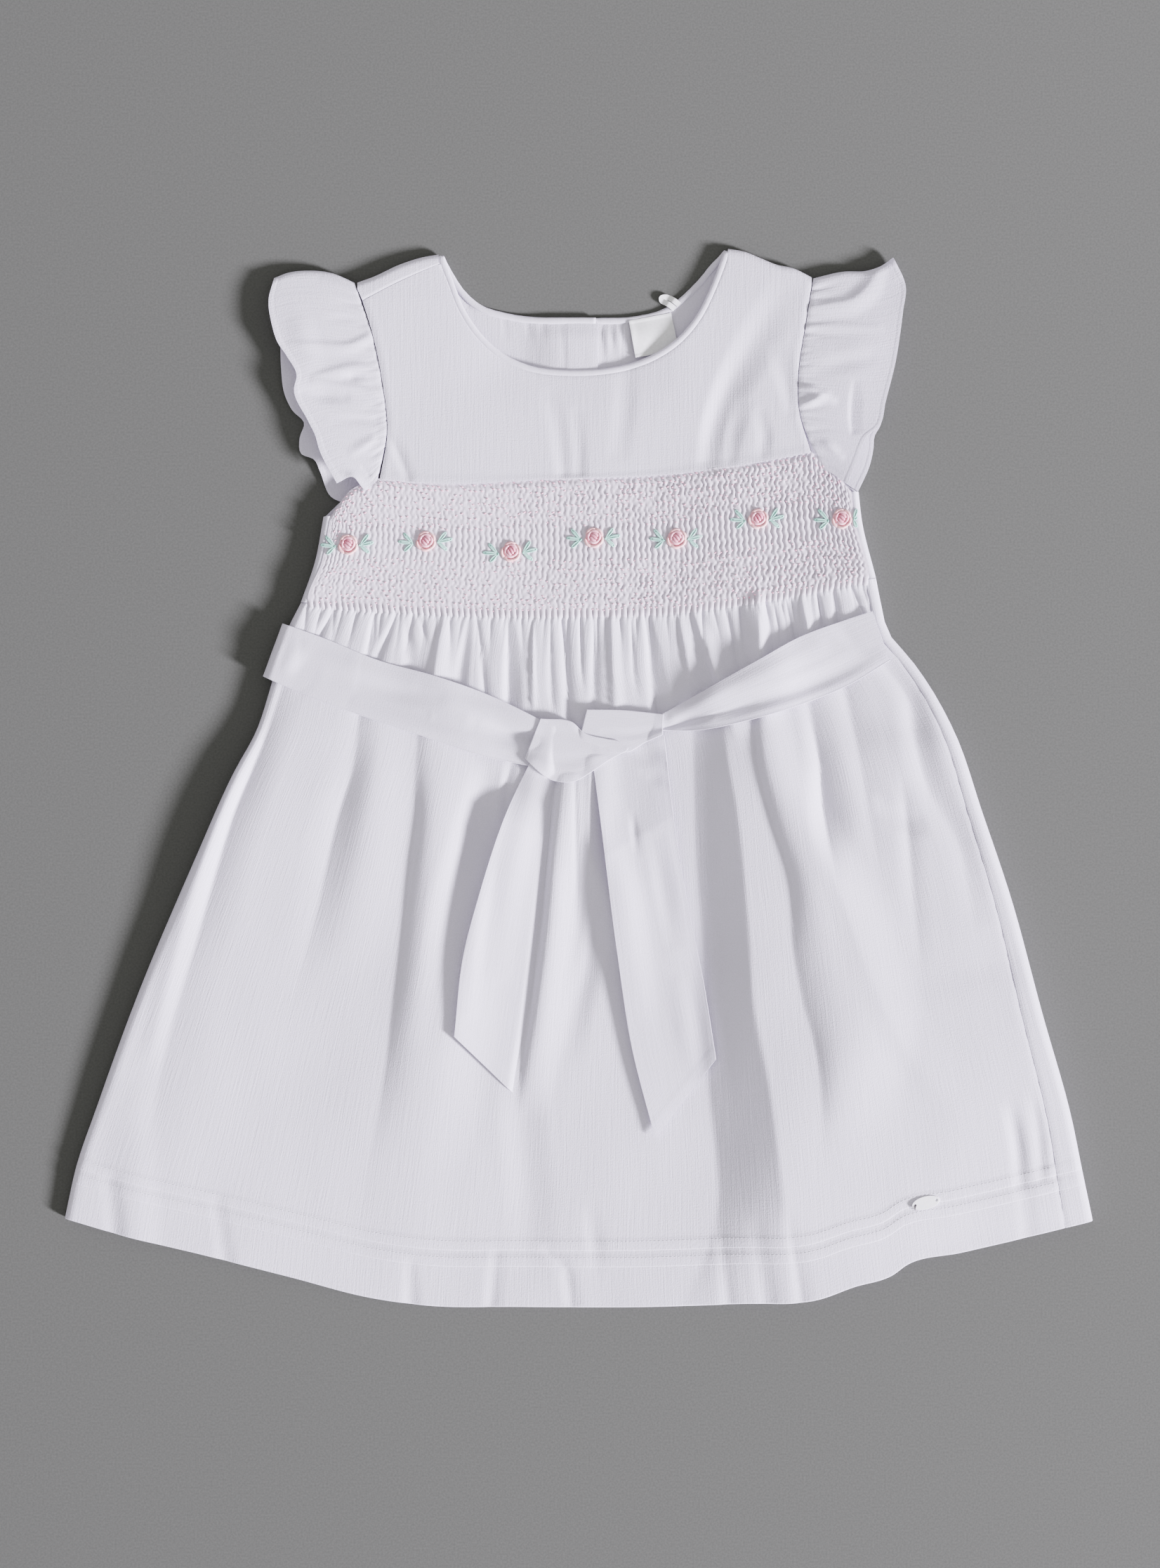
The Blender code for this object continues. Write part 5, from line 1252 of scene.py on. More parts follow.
def tube_points(path, radius, sides, flat=1.0):
    """Rings of points round a path (mm). The radius may change along it; flat squeezes it upright."""
    path = np.asarray(path, float)
    ahead = np.gradient(path, axis=0)
    ahead /= np.linalg.norm(ahead, axis=1, keepdims=True)
    across = np.cross(ahead, [0.0, 0.0, 1.0])
    across /= np.maximum(np.linalg.norm(across, axis=1, keepdims=True), 1e-6)
    upright = np.cross(across, ahead)
    turn = np.linspace(0, 2 * np.pi, sides, endpoint=False)[None, :, None]
    radius = np.broadcast_to(radius, (len(path),))[:, None, None]
    return path[:, None] + radius * (across[:, None] * np.cos(turn) + flat * upright[:, None] * np.sin(turn))


def tube_faces(rings, sides, closed=False):
    faces = []
    for ring in range(rings if closed else rings - 1):
        for side in range(sides):
            a, b = ring * sides + side, ring * sides + (side + 1) % sides
            c, d = ((ring + 1) % rings) * sides + (side + 1) % sides, ((ring + 1) % rings) * sides + side
            faces.append((a, b, c, d))
    if not closed:
        faces.append(tuple(range(sides))[::-1])
        faces.append(tuple((rings - 1) * sides + side for side in range(sides)))
    return faces


class Bundle:
    """Many small meshes that become one."""

    def __init__(self):
        self.points, self.faces, self.count = [], [], 0

    def add(self, points, faces):
        points = np.asarray(points, float).reshape(-1, 3)
        self.points.append(points)
        self.faces += [[corner + self.count for corner in face] for face in faces]
        self.count += len(points)

    def tube(self, path, radius, sides=6, closed=False, flat=1.0):
        self.add(tube_points(path, radius, sides, flat), tube_faces(len(path), sides, closed))

    def piece(self, name, material):
        return mesh_piece(name, np.concatenate(self.points), self.faces, material)


GRAIN_RINGS = ((-0.5, 0.35), (-0.36, 0.86), (0.0, 1.0), (0.36, 0.86), (0.5, 0.35))
GRAIN_SIDES = 6


def grains(bundle, centres, ahead, length, width):
    """Short stitches: a grain of thread at each centre, along each direction."""
    centres, ahead = np.asarray(centres, float), np.asarray(ahead, float)
    ahead = ahead / np.linalg.norm(ahead, axis=1, keepdims=True)
    across = np.cross(ahead, [0.0, 0.0, 1.0])
    across /= np.linalg.norm(across, axis=1, keepdims=True)
    upright = np.cross(across, ahead)
    turn = np.linspace(0, 2 * np.pi, GRAIN_SIDES, endpoint=False)
    rings = np.array(GRAIN_RINGS)
    along = np.repeat(rings[:, 0], GRAIN_SIDES) * length
    out = np.repeat(rings[:, 1], GRAIN_SIDES) * width / 2
    circle = np.tile(turn, len(rings))
    shape = (
        along[None, :, None] * ahead[:, None]
        + (out * np.cos(circle))[None, :, None] * across[:, None]
        + (out * np.sin(circle))[None, :, None] * upright[:, None]
    )
    faces = tube_faces(len(rings), GRAIN_SIDES)
    for one in shape + centres[:, None]:
        bundle.add(one, faces)


def run_along(line):
    """Distance of each point of a line from its start."""
    return np.append(0, np.cumsum(np.linalg.norm(np.diff(line, axis=0), axis=1)))


def stitch_row(bundle, line, pitch=2.4, length=1.7, width=0.34):
    """A row of machine stitches along a line of points."""
    line = np.asarray(line, float)
    line = line[~np.isnan(line[:, 0])]
    steps = run_along(line)
    middles = np.arange(pitch / 2, steps[-1], pitch)
    centres = np.stack([np.interp(middles, steps, line[:, k]) for k in range(3)], axis=1)
    ends = np.stack([np.interp(middles + 0.4, steps, line[:, k]) for k in range(3)], axis=1)
    grains(bundle, centres, ends - centres, length, width)


# ------------------------------------------------------------------ neck


def neck_path():
    """Centre line of the binding: from the placket round the left back, the front and the right back."""
    back_left = beside(through(NECK_BACK_LEFT), PIPING)(np.linspace(1, 0.04, 60))
    front = beside(through(NECK_FRONT), PIPING)(np.linspace(0, 1, 150))
    back_right = beside(through(NECK_BACK_RIGHT), PIPING)(np.linspace(0.96, 0, 60))
    points = [(*place, binding_back_z(place, under=False)) for place in back_left]
    points += [over_shoulder(front[0], turn) for turn in (-60, -30, 0, 30, 60)]
    points += [(*place, loft(*place) + yoke_relief(*place[:, None])[0] - 0.3) for place in front]
    points += [over_shoulder(front[-1], turn) for turn in (60, 30, 0, -30, -60)]
    points += [(*place, binding_back_z(place, under=True)) for place in back_right]
    points += [(x, back_right[-1][1], points[-1][2] - 0.3) for x in (7.5, 5.5, 3.5)]
    points = np.array(points)
    for _ in range(6):
        points[1:-1] = (points[:-2] + 2 * points[1:-1] + points[2:]) / 4
    return points


def binding_back_z(place, under):
    overlap = OVERLAP_RISE * smooth_step((place[0] - OVERLAP_START) / OVERLAP_RUN)
    return placket_z(place) + 0.25 + (0 if under else overlap)


def over_shoulder(place, turn):
    low, high = PIPING, loft(*place)
    forward = (high - low) / 2 * np.cos(np.radians(turn))
    return (place[0], place[1] + forward, (low + high) / 2 + (high - low) / 2 * np.sin(np.radians(turn)))


def neck_binding(material):
    path = neck_path()
    steps = run_along(path)
    radius = PIPING * (1 + 0.02 * np.sin(steps * 1.3) + 0.015 * np.sin(steps * 0.43))
    rings = tube_points(path, radius, PIPING_SIDES, PIPING_FLAT)
    turn = np.arange(PIPING_SIDES)[None] * 2 * np.pi * PIPING / PIPING_SIDES
    slant = turn + 0.5 * steps[:, None]  # it is a bias strip
    places = paired(slant, steps[:, None]).reshape(-1, 2)
    faces = tube_faces(len(path), PIPING_SIDES)
    return mesh_piece("binding", rings.reshape(-1, 3), faces, material, places), path


def label(pile, material):
    top_left, top_right, low_right, low_left = LABEL_CORNERS
    surface = patch(
        straight(top_left, top_right), straight(low_left, low_right),
        straight(top_left, low_left), straight(top_right, low_right),
    )
    across, down = np.linspace(0, 1, 41)[None], np.linspace(0, 1, 37)[:, None]
    plan = surface(across, down)
    z = pile.over(plan, 1.5) + 0.35 + 1.0 * smooth_step(down * 1.6) * (1 - 0.5 * across * down)
    z += 0.2 * np.sin(3 * across + 2 * down)
    fold = LABEL_FOLD / LABEL_SIZE[1]
    z += 0.22 * smooth_step((fold - down) / 0.01) + 0.22 * smooth_step((down - 1 + fold) / 0.01)
    z -= 0.1 * np.exp(-(np.minimum(across, 1 - across) / 0.02) ** 2)
    grid = with_height(plan, z)
    places = paired(across * LABEL_SIZE[0], down * LABEL_SIZE[1])
    return sheet_piece("label_inside", grid, places, LABEL_WALL, material), grid


def hanging_loop(pile, material):
    """A narrow ribbon from the neck seam out over the binding, turned over at its tip and back."""
    share = np.linspace(0, 1, 60)
    route = through(LOOP_ROUTE)(share)
    ahead = np.gradient(route[:, :2], axis=0)
    ahead /= np.linalg.norm(ahead, axis=1, keepdims=True)
    side = np.stack([ahead[:, 1], -ahead[:, 0]], axis=1)
    across = np.linspace(-0.5, 0.5, 5)[None, :, None] * LOOP_WIDTH
    lean = np.radians(LOOP_LEAN)
    plan = route[:, None, :2] + across * side[:, None] * np.cos(lean)
    z = route[:, None, 2] + pile.over(route[:, None, :2], 1.0) + across[..., 0] * np.sin(lean)
    grid = with_height(plan, z)
    places = paired(across[..., 0], share[:, None] * LOOP_LENGTH)
    return sheet_piece("loop_ribbon", grid, places, LABEL_WALL, material), grid


# ------------------------------------------------------------------ sleeves


def sleeve(name, fold, front_edge, front_low, back_edge, back_low, armhole, creases, material):
    """A ruffle from the front of its armhole, over the shoulder, to the back, folded at the top."""
    on_left = fold[0][0] < 0
    away = -SLEEVE_GAP if on_left else SLEEVE_GAP
    fold_line = through(fold)
    layers = []
    for free_edge, low in ((front_edge, front_low), (back_edge, back_low)):
        seam = [(x + away, y) for x, y in armhole[1:-1]]
        seam_line = through((fold[-1] if on_left else fold[0], *seam, low[-1] if on_left else low[0]))
        free_line = through(free_edge)
        sides = (free_line, seam_line) if on_left else (seam_line, free_line)
        layers.append(patch(fold_line, through(low), *sides))
    across = np.concatenate([np.linspace(0, 0.9, 44), np.linspace(0.92, 1, 8)])
    across = 1 - across[::-1] if on_left else across
    outward = 1 - across if on_left else across
    inset, up = roll(np.linspace(75, -75, 9), SHOULDER_ROLL)
    front_rows = np.linspace(SHOULDER_ROLL / SLEEVE_RUN, 1, 120)
    rows = [(0, share, 1.0) for share in front_rows[::-1]]
    rows += [(0 if share > 0.5 else 1, depth / SLEEVE_RUN, share) for depth, share in zip(inset, up)]
    rows += [(1, share, 0.0) for share in np.linspace(SHOULDER_ROLL / SLEEVE_RUN, 1, 60)]
    layer, share, rise = (np.array(column) for column in zip(*rows))
    plan = np.where((layer == 0)[:, None, None], layers[0](across[None], share[:, None]),
                    layers[1](across[None], share[:, None]))
    x, y = plan[..., 0], plan[..., 1]
    span = np.linalg.norm(plan[:, -1] - plan[:, 0], axis=-1)[:, None]
    out_mm = outward[None] * span
    to_free = span - out_mm
    ticks = seam_ticks(share[:, None] * SLEEVE_RUN, out_mm, 5 if on_left else 6)
    relief = 0.7 * ridges(x, y, creases) + ticks
    hem = 0.08 * smooth_step((EDGE_HEM - to_free) / 0.6) - 0.05 * np.exp(-((to_free - EDGE_HEM) / 0.4) ** 2)
    stand = 0.2 + 0.8 * smooth_step(share[:, None] / 0.3)
    front = loft(x, y) + relief + hem + outward * stand * (2.0 + 0.3 * swell(x, y, 25, 1, 8))
    front -= 0.35 * np.exp(-out_mm / 0.8)
    wave = 0.5 + 0.5 * np.sin(share[:, None] * 17 + (1.0 if on_left else 2.2))
    back = FLOOR_MID + outward[None] * (0.4 + 1.3 * wave) + hem
    z = back + (front - back) * rise[:, None]
    grid = with_height(plan, z)
    path = np.cumsum(np.append(0, np.abs(np.diff(np.where(layer == 0, -share, share))))) * SLEEVE_RUN
    places = paired(path[:, None], out_mm)
    grid, places = grid[::-1], places[::-1]
    return sheet_piece(name, grid, places, WALL, material), grid


def seam_ticks(along, out, seed):
    """Small gathers beside a seam: narrow valleys that widen and die away outward."""
    random = np.random.default_rng(seed)
    rise = np.zeros(np.broadcast(along, out).shape)
    for place in np.arange(2, SLEEVE_RUN, 3.1):
        place += random.uniform(-1.1, 1.1)
        depth, run, lean = random.uniform(0.15, 0.6), random.uniform(4, 11), random.uniform(-0.25, 0.25)
        valley = np.exp(-np.abs(along - place - lean * out) / (0.55 + 0.07 * out))
        rise = rise - depth * valley * np.exp(-((out / run) ** 2))
    return rise


# ------------------------------------------------------------------ sash


def smoothed(height, times):
    for _ in range(times):
        wide = np.pad(height, 1, mode="edge")
        height = (wide[:-2, 1:-1] + wide[2:, 1:-1] + wide[1:-1, :-2] + wide[1:-1, 2:] + 2 * height) / 6
    return height


def sash_points(plan, pile, reach, lift, creases, wall=SASH_WALL, calm=24):
    """A strip of the sash laid on the pile, with its own creases."""
    x, y = plan[..., 0], plan[..., 1]
    cover = np.maximum(smoothed(pile.over(plan, reach), calm) + lift, smoothed(pile.over(plan, 0.8), 3))
    z = cover + STACK_GAP + wall / 2 + ridges(x, y, creases)
    return with_height(plan, z)


def folded_edge(down, width):
    """The folded edges of a strip: the first turns down and the last up, in a thin lip."""
    last = np.clip(1 - (1 - down) * width / 0.5, 0, 1)
    first = np.clip(1 - down * width / 0.6, 0, 1)
    return 0.13 * last - 0.04 * first ** 2


def sash_left(pile, material):
    """The left stretch comes round the rolled side of the skirt, from its side seam."""
    surface = band(SASH_LEFT_TOP, SASH_LEFT_LOW)
    inset, up = roll(np.linspace(-40, 80, 12), SIDE_ROLL)
    flat = np.linspace(SIDE_ROLL, SASH_LEFT_LENGTH, 120)
    across = (np.concatenate([inset, flat]) / SASH_LEFT_LENGTH)[None]
    down = np.append(np.linspace(0, 0.965, 29), EDGE_ROWS)[:, None]
    plan = surface(across, down)
    x = plan[..., 0]
    lift = 1.9 * smooth_step((x + 75) / 35) - 0.3
    grid = sash_points(plan, pile, 8.0, lift, SASH_LEFT_FOLDS, calm=70)
    top = grid[:, len(inset) + 6, 2]
    for column, share in enumerate(up):
        grid[:, column, 2] = SASH_WALL / 2 + (top - SASH_WALL / 2) * share
    for column in range(6):
        share = (column + 1) / 7
        edge = grid[:, len(inset) + column, 2]
        grid[:, len(inset) + column, 2] = top * (1 - share) + edge * share
    grid[..., 2] += folded_edge(down, SASH_WIDTH)
    places = paired(down * SASH_WIDTH, across * SASH_LEFT_LENGTH)
    return sheet_piece("sash_left_band", grid, places, SASH_WALL, material), grid


def sash_right(pile, material):
    surface = band(SASH_RIGHT_TOP, SASH_RIGHT_LOW)
    across = np.linspace(0, 0.99, 120)[None]
    down = np.append(np.linspace(0, 0.965, 33), EDGE_ROWS)[:, None]
    grid = sash_points(surface(across, down), pile, 8.0, 0.3, SASH_RIGHT_FOLDS, calm=70)
    narrow, wide = SASH_RIGHT_WIDTHS
    grid[..., 2] += folded_edge(down, narrow + (wide - narrow) * across)
    places = paired(down * SASH_WIDTH, across * SASH_RIGHT_LENGTH)
    return sheet_piece("sash_right_band", grid, places, SASH_WALL, material), grid


def sash_tail(name, pile, edges, reach, lifts, sunk, creases, material):
    """A free end. The lifts are how far its left and its right edge stand off, from its top to its tip.
    sunk is how deep the right edge goes beside a fold of the skirt."""
    surface = between(*edges)
    across, down = np.linspace(0, 1, 40)[None], np.linspace(0, 1, 130)[:, None]
    places, left, right = np.array(lifts).T
    lift = np.interp(down, places, left) * (1 - across) + np.interp(down, places, right) * across
    grid = sash_points(surface(across, down), pile, reach, lift, creases, calm=8)
    grid[..., 2] -= sunk * smooth_step((across - 0.84) / 0.16)
    grid[..., 2] += folded_edge(across, TAIL_WIDTH)
    grid[..., 2] += 0.08 * smooth_step((down - TAIL_HEM) / 0.004)
    places = paired(across * TAIL_CLOTH[0], down * TAIL_CLOTH[1])
    return sheet_piece(name, grid, places, SASH_WALL, material), grid


KNOT_RIM = (  # inset, share of the drop
    (0.8, 1.0), (0.3, 0.95), (0.05, 0.75), (0.0, 0.45), (0.0, 0.1), (0.03, 0.02), (0.1, 0.0), (0.25, 0.0),
)


def turned_under(count, length):
    """Shares across a lobe of that length whose ends are turned under, and how far down each one lies."""
    inset, drop = np.array(KNOT_RIM).T
    inset = inset / length
    places = np.concatenate([inset, np.linspace(1.0 / length, 1 - 1.0 / length, count), 1 - inset[::-1]])
    return places, np.concatenate([drop, np.zeros(count), drop[::-1]])


def knot_lobe(name, top, low, rise, creases, pile, material):
    """A lobe of the knot: nearly level, over most of what it lies on, with its edges turned under."""
    (across, side_drop), (down, edge_drop) = (turned_under(*side) for side in zip((84, 50), KNOT_SIZE))
    plan = band(top, low)(across[None], down[:, None])
    grid = sash_points(plan, pile, 2.0, 0.0, (), KNOT_WALL, calm=16)
    base = grid[..., 2].copy()
    relief = ridges(plan[..., 0], plan[..., 1], creases)
    level = np.percentile(base, 65) + rise + relief + 0.012 * (plan[..., 0].mean() - plan[..., 0])
    drop = np.maximum(edge_drop[:, None], side_drop[None])
    grid[..., 2] = base + np.maximum(level - base, 0.2) * (1 - drop)
    places = paired(down[:, None] * SASH_WIDTH, across[None] * KNOT_LENGTH)
    return sheet_piece(name, grid, places, KNOT_WALL, material), grid


# ------------------------------------------------------------------ small pieces


def ellipse(size_x, size_y, centre, count):
    turn = np.linspace(0, 2 * np.pi, count, endpoint=False)
    return np.stack([centre[0] + size_x / 2 * np.cos(turn), centre[1] + size_y / 2 * np.sin(turn)], axis=-1)


def charm(pile, metal, cord):
    """An oval plate with two holes, sewn on by a loop of thread."""
    length, width, thickness = CHARM_SIZE
    reach = length / 2 - CHARM_HOLE_INSET
    curve = bpy.data.curves.new("charm_plate", "CURVE")
    curve.dimensions = "2D"
    curve.fill_mode = "BOTH"
    curve.extrude = (thickness / 2 - CHARM_BEVEL) * MM
    curve.bevel_depth = CHARM_BEVEL * MM
    curve.bevel_resolution = 3
    curve.offset = -CHARM_BEVEL * MM
    holes = [(CHARM_HOLE, CHARM_HOLE, x, 24) for x in (-reach, reach)]
    for size_x, size_y, x, count in ((length, width, 0, 96), *holes):
        spline = curve.splines.new("POLY")
        loop = ellipse(size_x, size_y, (x, 0), count)
        spline.points.add(len(loop) - 1)
        for point, (px, py) in zip(spline.points, loop):
            point.co = (px * MM, py * MM, 0, 1)
        spline.use_cyclic_u = True
    curve.materials.append(metal)
    plate = new_object("charm_plate", curve)
    top = pile.over(np.array([CHARM_PLACE]), 1.5)[0]
    middle = np.array([*CHARM_PLACE, top - 0.1 + thickness / 2])
    plate.location = middle * MM
    turned = np.radians(CHARM_TURN)
    plate.rotation_euler = (0, np.radians(CHARM_TILT), turned)

    bundle = Bundle()
    hole = middle[:2] - reach * np.array([np.cos(turned), np.sin(turned)])
    for side, lean in ((-0.25, -0.3), (0.2, 0.25)):
        turn = np.linspace(0, 2 * np.pi, 33)[:-1]
        loop = np.stack([
            hole[0] + side + lean * np.cos(turn),
            hole[1] - 0.9 + 1.35 * np.cos(turn),
            middle[2] + 0.75 * np.sin(turn),
        ], axis=1)
        bundle.tube(loop, 0.17, 6, closed=True)
    return plate, bundle.piece("charm_thread", cord)


# ------------------------------------------------------------------ embroidery


def smock_height(x, y):
    """Height of the pleats at one place."""
    x, y = np.array([x]), np.array([y])
    return float((loft(x, y) + swell(x, y, 45, 0.5, 11) + 0.3 * PLEAT_HEIGHT)[0])


def smocking_stitches(material):
    """Short slanted stitches that hold the pleats, in rows above and below the plain band."""
    random = np.random.default_rng(12)
    bundle = Bundle()
    edges = (0.9, SMOCK_ZONES[0], SMOCK_ZONES[1], SMOCK_HEIGHT - 0.6)
    rows = [*np.arange(edges[0], edges[1], SMOCK_WAVE / 2), *np.arange(edges[2], edges[3], SMOCK_WAVE / 2)]
    for number, drop in enumerate(rows):
        across = (np.arange(2, PLEATS - 2) + (0.5 if number % 2 else 0.0)) / PLEATS
        dense = drop < 4 or drop > SMOCK_HEIGHT - 6
        across = across[random.random(len(across)) < (0.75 if dense else 0.5)]
        across = across + random.normal(0, 0.0006, len(across))
        down = (drop + SMOCK_TUCKED + random.normal(0, 0.35, len(across))) / SMOCK_LENGTH
        lean = 0.35 * (1 if number % 4 < 2 else -1)
        here, ahead = smocked_point(across, down), smocked_point(across + 0.0022, down + lean * 0.0022 * 4)
        step = ahead - here
        step[:, 2] *= 0.3
        here[:, 2] += PANEL_WALL / 2 + 0.12
        length = random.uniform(0.8, 1.3)
        grains(bundle, here, step, length, 0.58)
    return bundle.piece("smocking_stitches", material)


def bullion(bundle, start, end, bulge, z, radius):
    """One bullion knot: a bar of wrapped thread, bent sideways by bulge."""
    start, end = np.array(start, float), np.array(end, float)
    share = np.linspace(0, 1, 31)[:, None]
    along = end - start
    side = np.array([-along[1], along[0]]) / np.linalg.norm(along)
    plan = start + along * share + side * bulge * np.sin(np.pi * share)
    height = z + 0.35 * np.sin(np.pi * share)
    wraps = 1 + 0.11 * np.cos(np.pi * np.arange(31))
    ends = np.sqrt(np.clip(1 - (2 * share[:, 0] - 1) ** 6, 0.08, 1))
    bundle.tube(np.concatenate([plan, height], axis=1), radius * wraps * ends, 8)


CUSHION_RINGS = ((4.3, -0.5), (3.9, 0.0), (2.4, 0.3), (0.5, 0.4))  # radius, rise of what a rose lies on
CUSHION_SIDES = 18


def roses(colours):
    """Seven bullion roses: a deep centre, a pale ring round it and a peach one below."""
    random = np.random.default_rng(4)
    centre, ring, outer = Bundle(), Bundle(), Bundle()
    for x, y in ROSES:
        z = smock_height(x, y) + 0.35
        tilt = random.uniform(-0.25, 0.25)
        middle = np.array([x + 0.3, y + 0.4])

        def spot(radius, degrees, origin=middle):
            turn = np.radians(degrees) + tilt
            return origin + radius * np.array([np.cos(turn), np.sin(turn)])

        cushion = [
            [*spot(radius, degrees), z + rise]
            for radius, rise in CUSHION_RINGS for degrees in range(0, 360, 360 // CUSHION_SIDES)
        ]
        inner = (len(CUSHION_RINGS) - 1) * CUSHION_SIDES
        faces = tube_faces(len(CUSHION_RINGS), CUSHION_SIDES)[:-2]
        ring.add(cushion, faces + [tuple(range(inner, inner + CUSHION_SIDES))])
        for offset, bulge in ((-1.15, -0.3), (0.0, 0.15), (1.15, 0.35)):
            shift = offset * np.array([np.cos(tilt + 0.9), np.sin(tilt + 0.9)])
            bullion(centre, spot(1.75, 130) + shift, spot(1.75, 310) + shift, bulge, z + 0.5, 0.68)
        for start in (20, 110, 200, 290):
            start += random.uniform(-8, 8)
            bullion(ring, spot(2.75, start), spot(2.85, start + 108), -1.05, z + 0.25, 0.66)
        for start in (165, 225, 285, 345):
            start += random.uniform(-7, 7)
            origin = middle + np.array([-0.2, -0.35])
            bullion(outer, spot(3.9, start, origin), spot(4.1, start + 76, origin), -1.05, z, 0.68)
        bullion(outer, spot(3.8, 65), spot(3.8, 150), -0.9, z - 0.05, 0.64)
    made = zip((centre, ring, outer), ("rose_centres", "rose_rings", "rose_petals"), colours)
    return [bundle.piece(name, colour) for bundle, name, colour in made]


def leaves(material, dark):
    """Three looped stitches from a small knot on each side of a rose."""
    random = np.random.default_rng(9)
    loops, knots = Bundle(), Bundle()
    for x, y in ROSES:
        z = smock_height(x, y) + 0.3
        for (knot_x, knot_y), tips in LEAVES:
            knot = np.array([x + knot_x, y + knot_y])
            for tip_x, tip_y in tips:
                tip = np.array([x + tip_x, y + tip_y]) + random.uniform(-0.35, 0.35, 2)
                tip[0] = min(tip[0], LEAF_END)
                along = tip - knot
                side = np.array([-along[1], along[0]]) / np.linalg.norm(along)
                turn = np.linspace(0, 2 * np.pi, 25)[:-1]
                reach = (1 - np.cos(turn)) / 2
                wide = 0.75 * np.sin(turn) * np.sqrt(reach)
                plan = knot + reach[:, None] * along + wide[:, None] * side
                height = z + 0.25 * np.sin(np.pi * reach)
                loops.tube(np.concatenate([plan, height[:, None]], axis=1), 0.36, 6, closed=True)
                share = np.linspace(0.15, 0.85, 7)[:, None]
                inner = np.concatenate([knot + share * along, z - 0.05 + 0 * share], axis=1)
                loops.tube(inner, 0.5, 6)
            for _ in range(2):
                spot = knot + random.uniform(-0.35, 0.35, 2)
                ahead = [random.uniform(-1, 1), random.uniform(-1, 1), 0.1]
                grains(knots, [[*spot, z + 0.25]], [ahead], 1.3, 0.8)
    return loops.piece("leaf_loops", material), knots.piece("leaf_knots", dark)


def tuck_stitches(skirt_points, rows, material):
    """Machine stitches along the tucks, on the front skirt's rows of points with those numbers."""
    bundle = Bundle()
    for row in rows:
        line = skirt_points[row, 20:-3] + np.array([0, 0, WALL / 2 + 0.02])
        stitch_row(bundle, line, 1.9, 1.2, 0.24)
    return bundle.piece("tuck_stitches", material)


# ------------------------------------------------------------------ stage


FLOOR_REACH = 20.0  # metres
FLOOR_COLOURS = ((0.102, 0.105, 0.094), (0.126, 0.129, 0.116))
FLOOR_PAINTED_FALLOFF = (-0.3, 0.25, 0.85, 1.01)  # painted falloff of light: from x to x, in metres, its brightness goes from share to share, darker to the left, away from the key light
SUN = {"energy": 13.1, "color": (1.0, 0.96, 1.11), "angle": np.radians(10)}
SUN_HEIGHT, SUN_BEARING = np.radians(18.5), np.radians(-28)
SKY_COLOUR, SKY_STRENGTH = (1.0, 0.985, 1.015, 1), 0.70


def stage():
    mesh = bpy.data.meshes.new("floor")
    corners = [(x * FLOOR_REACH, y * FLOOR_REACH, 0) for x, y in ((-1, -1), (1, -1), (1, 1), (-1, 1))]
    mesh.from_pydata(corners, [], [(0, 1, 2, 3)])
    material, tree, shader = new_material("floor_paper", 0.9)
    place = node(tree, "ShaderNodeTexCoord").outputs["Object"]
    paper = two_tone(tree, noise(tree, place, 1100.0, 2.0), GRAIN_LIMITS, FLOOR_COLOURS)
    # the paper's colour is painted darker towards the left: a painted falloff of the key light
    across = node(tree, "ShaderNodeSeparateXYZ", {"Vector": place}).outputs[0]
    start, end, low, high = FLOOR_PAINTED_FALLOFF
    limits = {"Value": across, "From Min": start, "From Max": end, "To Min": low, "To Max": high}
    painted_falloff = node(tree, "ShaderNodeMapRange", limits).outputs[0]
    shade = node(tree, "ShaderNodeVectorMath", {0: paper, 1: painted_falloff}, operation="MULTIPLY")
    tree.links.new(shade.outputs[0], shader.inputs["Base Color"])
    mesh.materials.append(material)
    new_object("floor", mesh)


def lights():
    key = bpy.data.lights.new("key", "SUN")
    for setting, value in SUN.items():
        setattr(key, setting, value)
    new_object("key", key).rotation_euler = (0, np.pi / 2 - SUN_HEIGHT, SUN_BEARING)
    world = bpy.data.worlds.new("studio")
    world.use_nodes = True
    sky = world.node_tree.nodes["Background"]
    sky.inputs["Color"].default_value = SKY_COLOUR
    sky.inputs["Strength"].default_value = SKY_STRENGTH
    bpy.context.scene.world = world


PHOTO_MM = 0.325  # one pixel of the photo's 1652 x 2233
PHOTO_PIXELS = (1652, 2233)
CAMERA_DISTANCE = 1800.0
SENSOR = 36.0
CAMERA_PLACE = (0.65, -2.8, 6.0)


def camera():
    lens = bpy.data.cameras.new("camera")
    lens.sensor_width = SENSOR
    lens.lens = SENSOR * CAMERA_DISTANCE / (PHOTO_PIXELS[1] * PHOTO_MM)
    eye = new_object("camera", lens)
    x, y, z = CAMERA_PLACE
    eye.location = (x * MM, y * MM, (z + CAMERA_DISTANCE) * MM)
    bpy.context.scene.camera = eye


COTTONS = (  # name, colour, distance between its ribs, strength of their relief, share of slub
    ("voile", (0.88, 0.853, 0.925), 0.8, 0.9, 0.5),
    ("smocked_voile", (0.90, 0.834, 0.912), 0.95, 0.4, 0.5),
    ("sash_lawn", (0.865, 0.839, 0.91), 0.6, 0.6, 0.3),
    ("neck_bias", (0.895, 0.868, 0.94), 0.5, 0.35, 0.5),
)
FINISHES = (  # name, its two shades, roughness, scale of the shades, depth of the relief, other sockets
    ("label_weave", ((0.70, 0.705, 0.69), (0.76, 0.765, 0.75)), 0.5, 900.0, 0.00003, {"Sheen_Weight": 0.2}),
    # charm: its own pale plating, made near-white and mostly diffuse as painted reflection of the bright
    # studio on its polished face
    ("charm_plating_painted_reflection", ((0.93, 0.93, 0.94), (0.98, 0.98, 0.98)), 0.32, 500.0, 0.00001, {"Metallic": 0.12}),
    ("button_resin", ((0.68, 0.68, 0.66), (0.74, 0.74, 0.72)), 0.3, 200.0, 0.00002, {}),
)
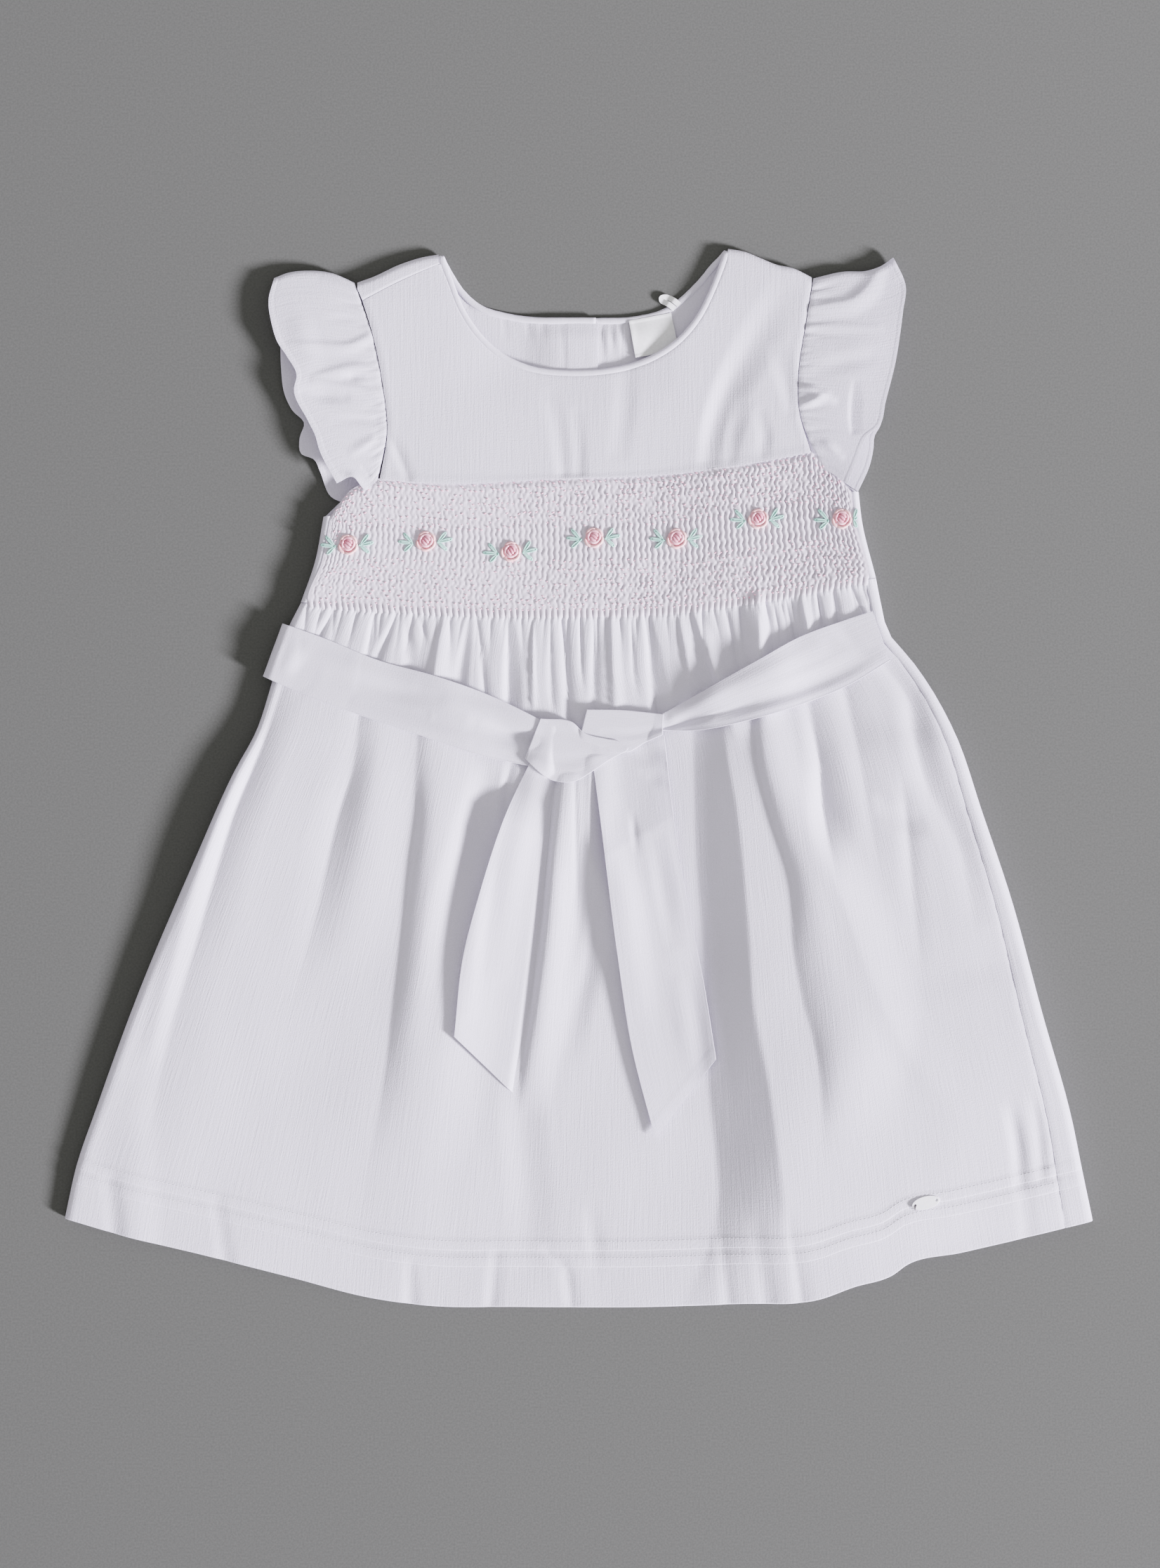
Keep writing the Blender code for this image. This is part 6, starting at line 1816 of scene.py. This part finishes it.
THREADS = (  # name, its two shades
    # white thread coloured grey: painted shade of the stitch holes along the tucks
    ("white_thread_painted_shade", ((0.60, 0.59, 0.62), (0.70, 0.69, 0.72))),
    ("charm_cord", ((0.10, 0.09, 0.09), (0.18, 0.16, 0.16))),
    ("mauve_thread", ((0.86, 0.42, 0.55), (0.92, 0.56, 0.67))),
    ("deep_pink_thread", ((0.88, 0.34, 0.45), (0.93, 0.45, 0.55))),
    ("pale_pink_thread", ((0.89, 0.41, 0.50), (0.94, 0.53, 0.60))),
    ("peach_thread", ((0.90, 0.48, 0.50), (0.94, 0.60, 0.59))),
    ("mint_thread", ((0.30, 0.58, 0.49), (0.40, 0.66, 0.57))),
    ("green_thread", ((0.22, 0.50, 0.41), (0.30, 0.57, 0.48))),
)


def all_materials():
    made = {name: cotton(name, *values) for name, *values in COTTONS}
    for name, shades, roughness, scale, depth, sockets in FINISHES:
        made[name] = smooth_finish(name, shades, roughness, scale, depth, **sockets)
    for name, shades in THREADS:
        made[name] = thread(name, shades)
    return made


def main():
    bpy.context.scene.view_settings.view_transform = "AgX"
    bpy.context.scene.view_settings.look = "AgX - Medium High Contrast"
    camera()
    lights()
    stage()
    finish = all_materials()
    voile, lawn, satin = finish["voile"], finish["sash_lawn"], finish["label_weave"]
    pile = Pile()

    def laid(made, node_name, wall=WALL):
        piece, points = made
        pile.add(points, wall)
        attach(piece, "root")
        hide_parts(node_name)
        return points

    laid(back_skirt(voile), "back_skirt")
    for side, size, on in (("right", 0.145, "floor"), ("left", 0.15, "back_right")):
        made = back_half("back_" + side, side, voile)
        laid(made, "back_bodice_" + side)
    laid(label(pile, satin), "neck_label", LABEL_WALL)
    binding, path = neck_binding(finish["neck_bias"])
    pile.add(tube_points(path, PIPING, PIPING_SIDES, PIPING_FLAT), 0.0)
    made = hanging_loop(pile, satin)
    laid(made, "hanger_loop", LABEL_WALL)
    made = front_skirt(voile)
    skirt_points = laid(made, "front_skirt")
    made = smocked_panel(finish["smocked_voile"])
    laid(made, "front_smocked_panel", PANEL_WALL)
    laid(front_yoke(voile), "front_yoke")
    for side, shape in SLEEVES.items():
        made = sleeve("ruffle_" + side, *shape, voile)
        laid(made, "flutter_sleeve_" + side)
    plate, cord = charm(pile, finish["charm_plating_painted_reflection"], finish["charm_cord"])
    for make, node_name, size in ((sash_left, "sash_left", 0.13), (sash_right, "sash_right", 0.12)):
        laid(make(pile, lawn), node_name, SASH_WALL)
    for side, (flat, *shape) in TAILS.items():
        made = sash_tail("tail_" + side, pile, *shape, lawn)
        laid(made, "sash_tail_" + side, SASH_WALL)
    for name, (flat, on, *shape) in KNOT_LOBES.items():
        made = knot_lobe(name, *shape, pile, lawn)
        laid(made, "sash_" + name, KNOT_WALL)

    stitched = tuck_stitches(skirt_points, TUCK_STITCH_ROWS, finish["white_thread_painted_shade"])
    rose_pieces = roses([finish[name] for name in ("deep_pink_thread", "pale_pink_thread", "peach_thread")])
    leaf_pieces = leaves(finish["mint_thread"], finish["green_thread"])
    smocked = smocking_stitches(finish["mauve_thread"])
    for piece in (binding, plate, cord, stitched, *rose_pieces, *leaf_pieces, smocked):
        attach(piece, "root")
    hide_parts("neck_binding")
    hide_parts("hem_charm")
    for button in [item for item in bpy.data.objects if item.name.startswith("back_button")]:
        button.data.materials.clear()
        button.data.materials.append(finish["button_resin"])


main()
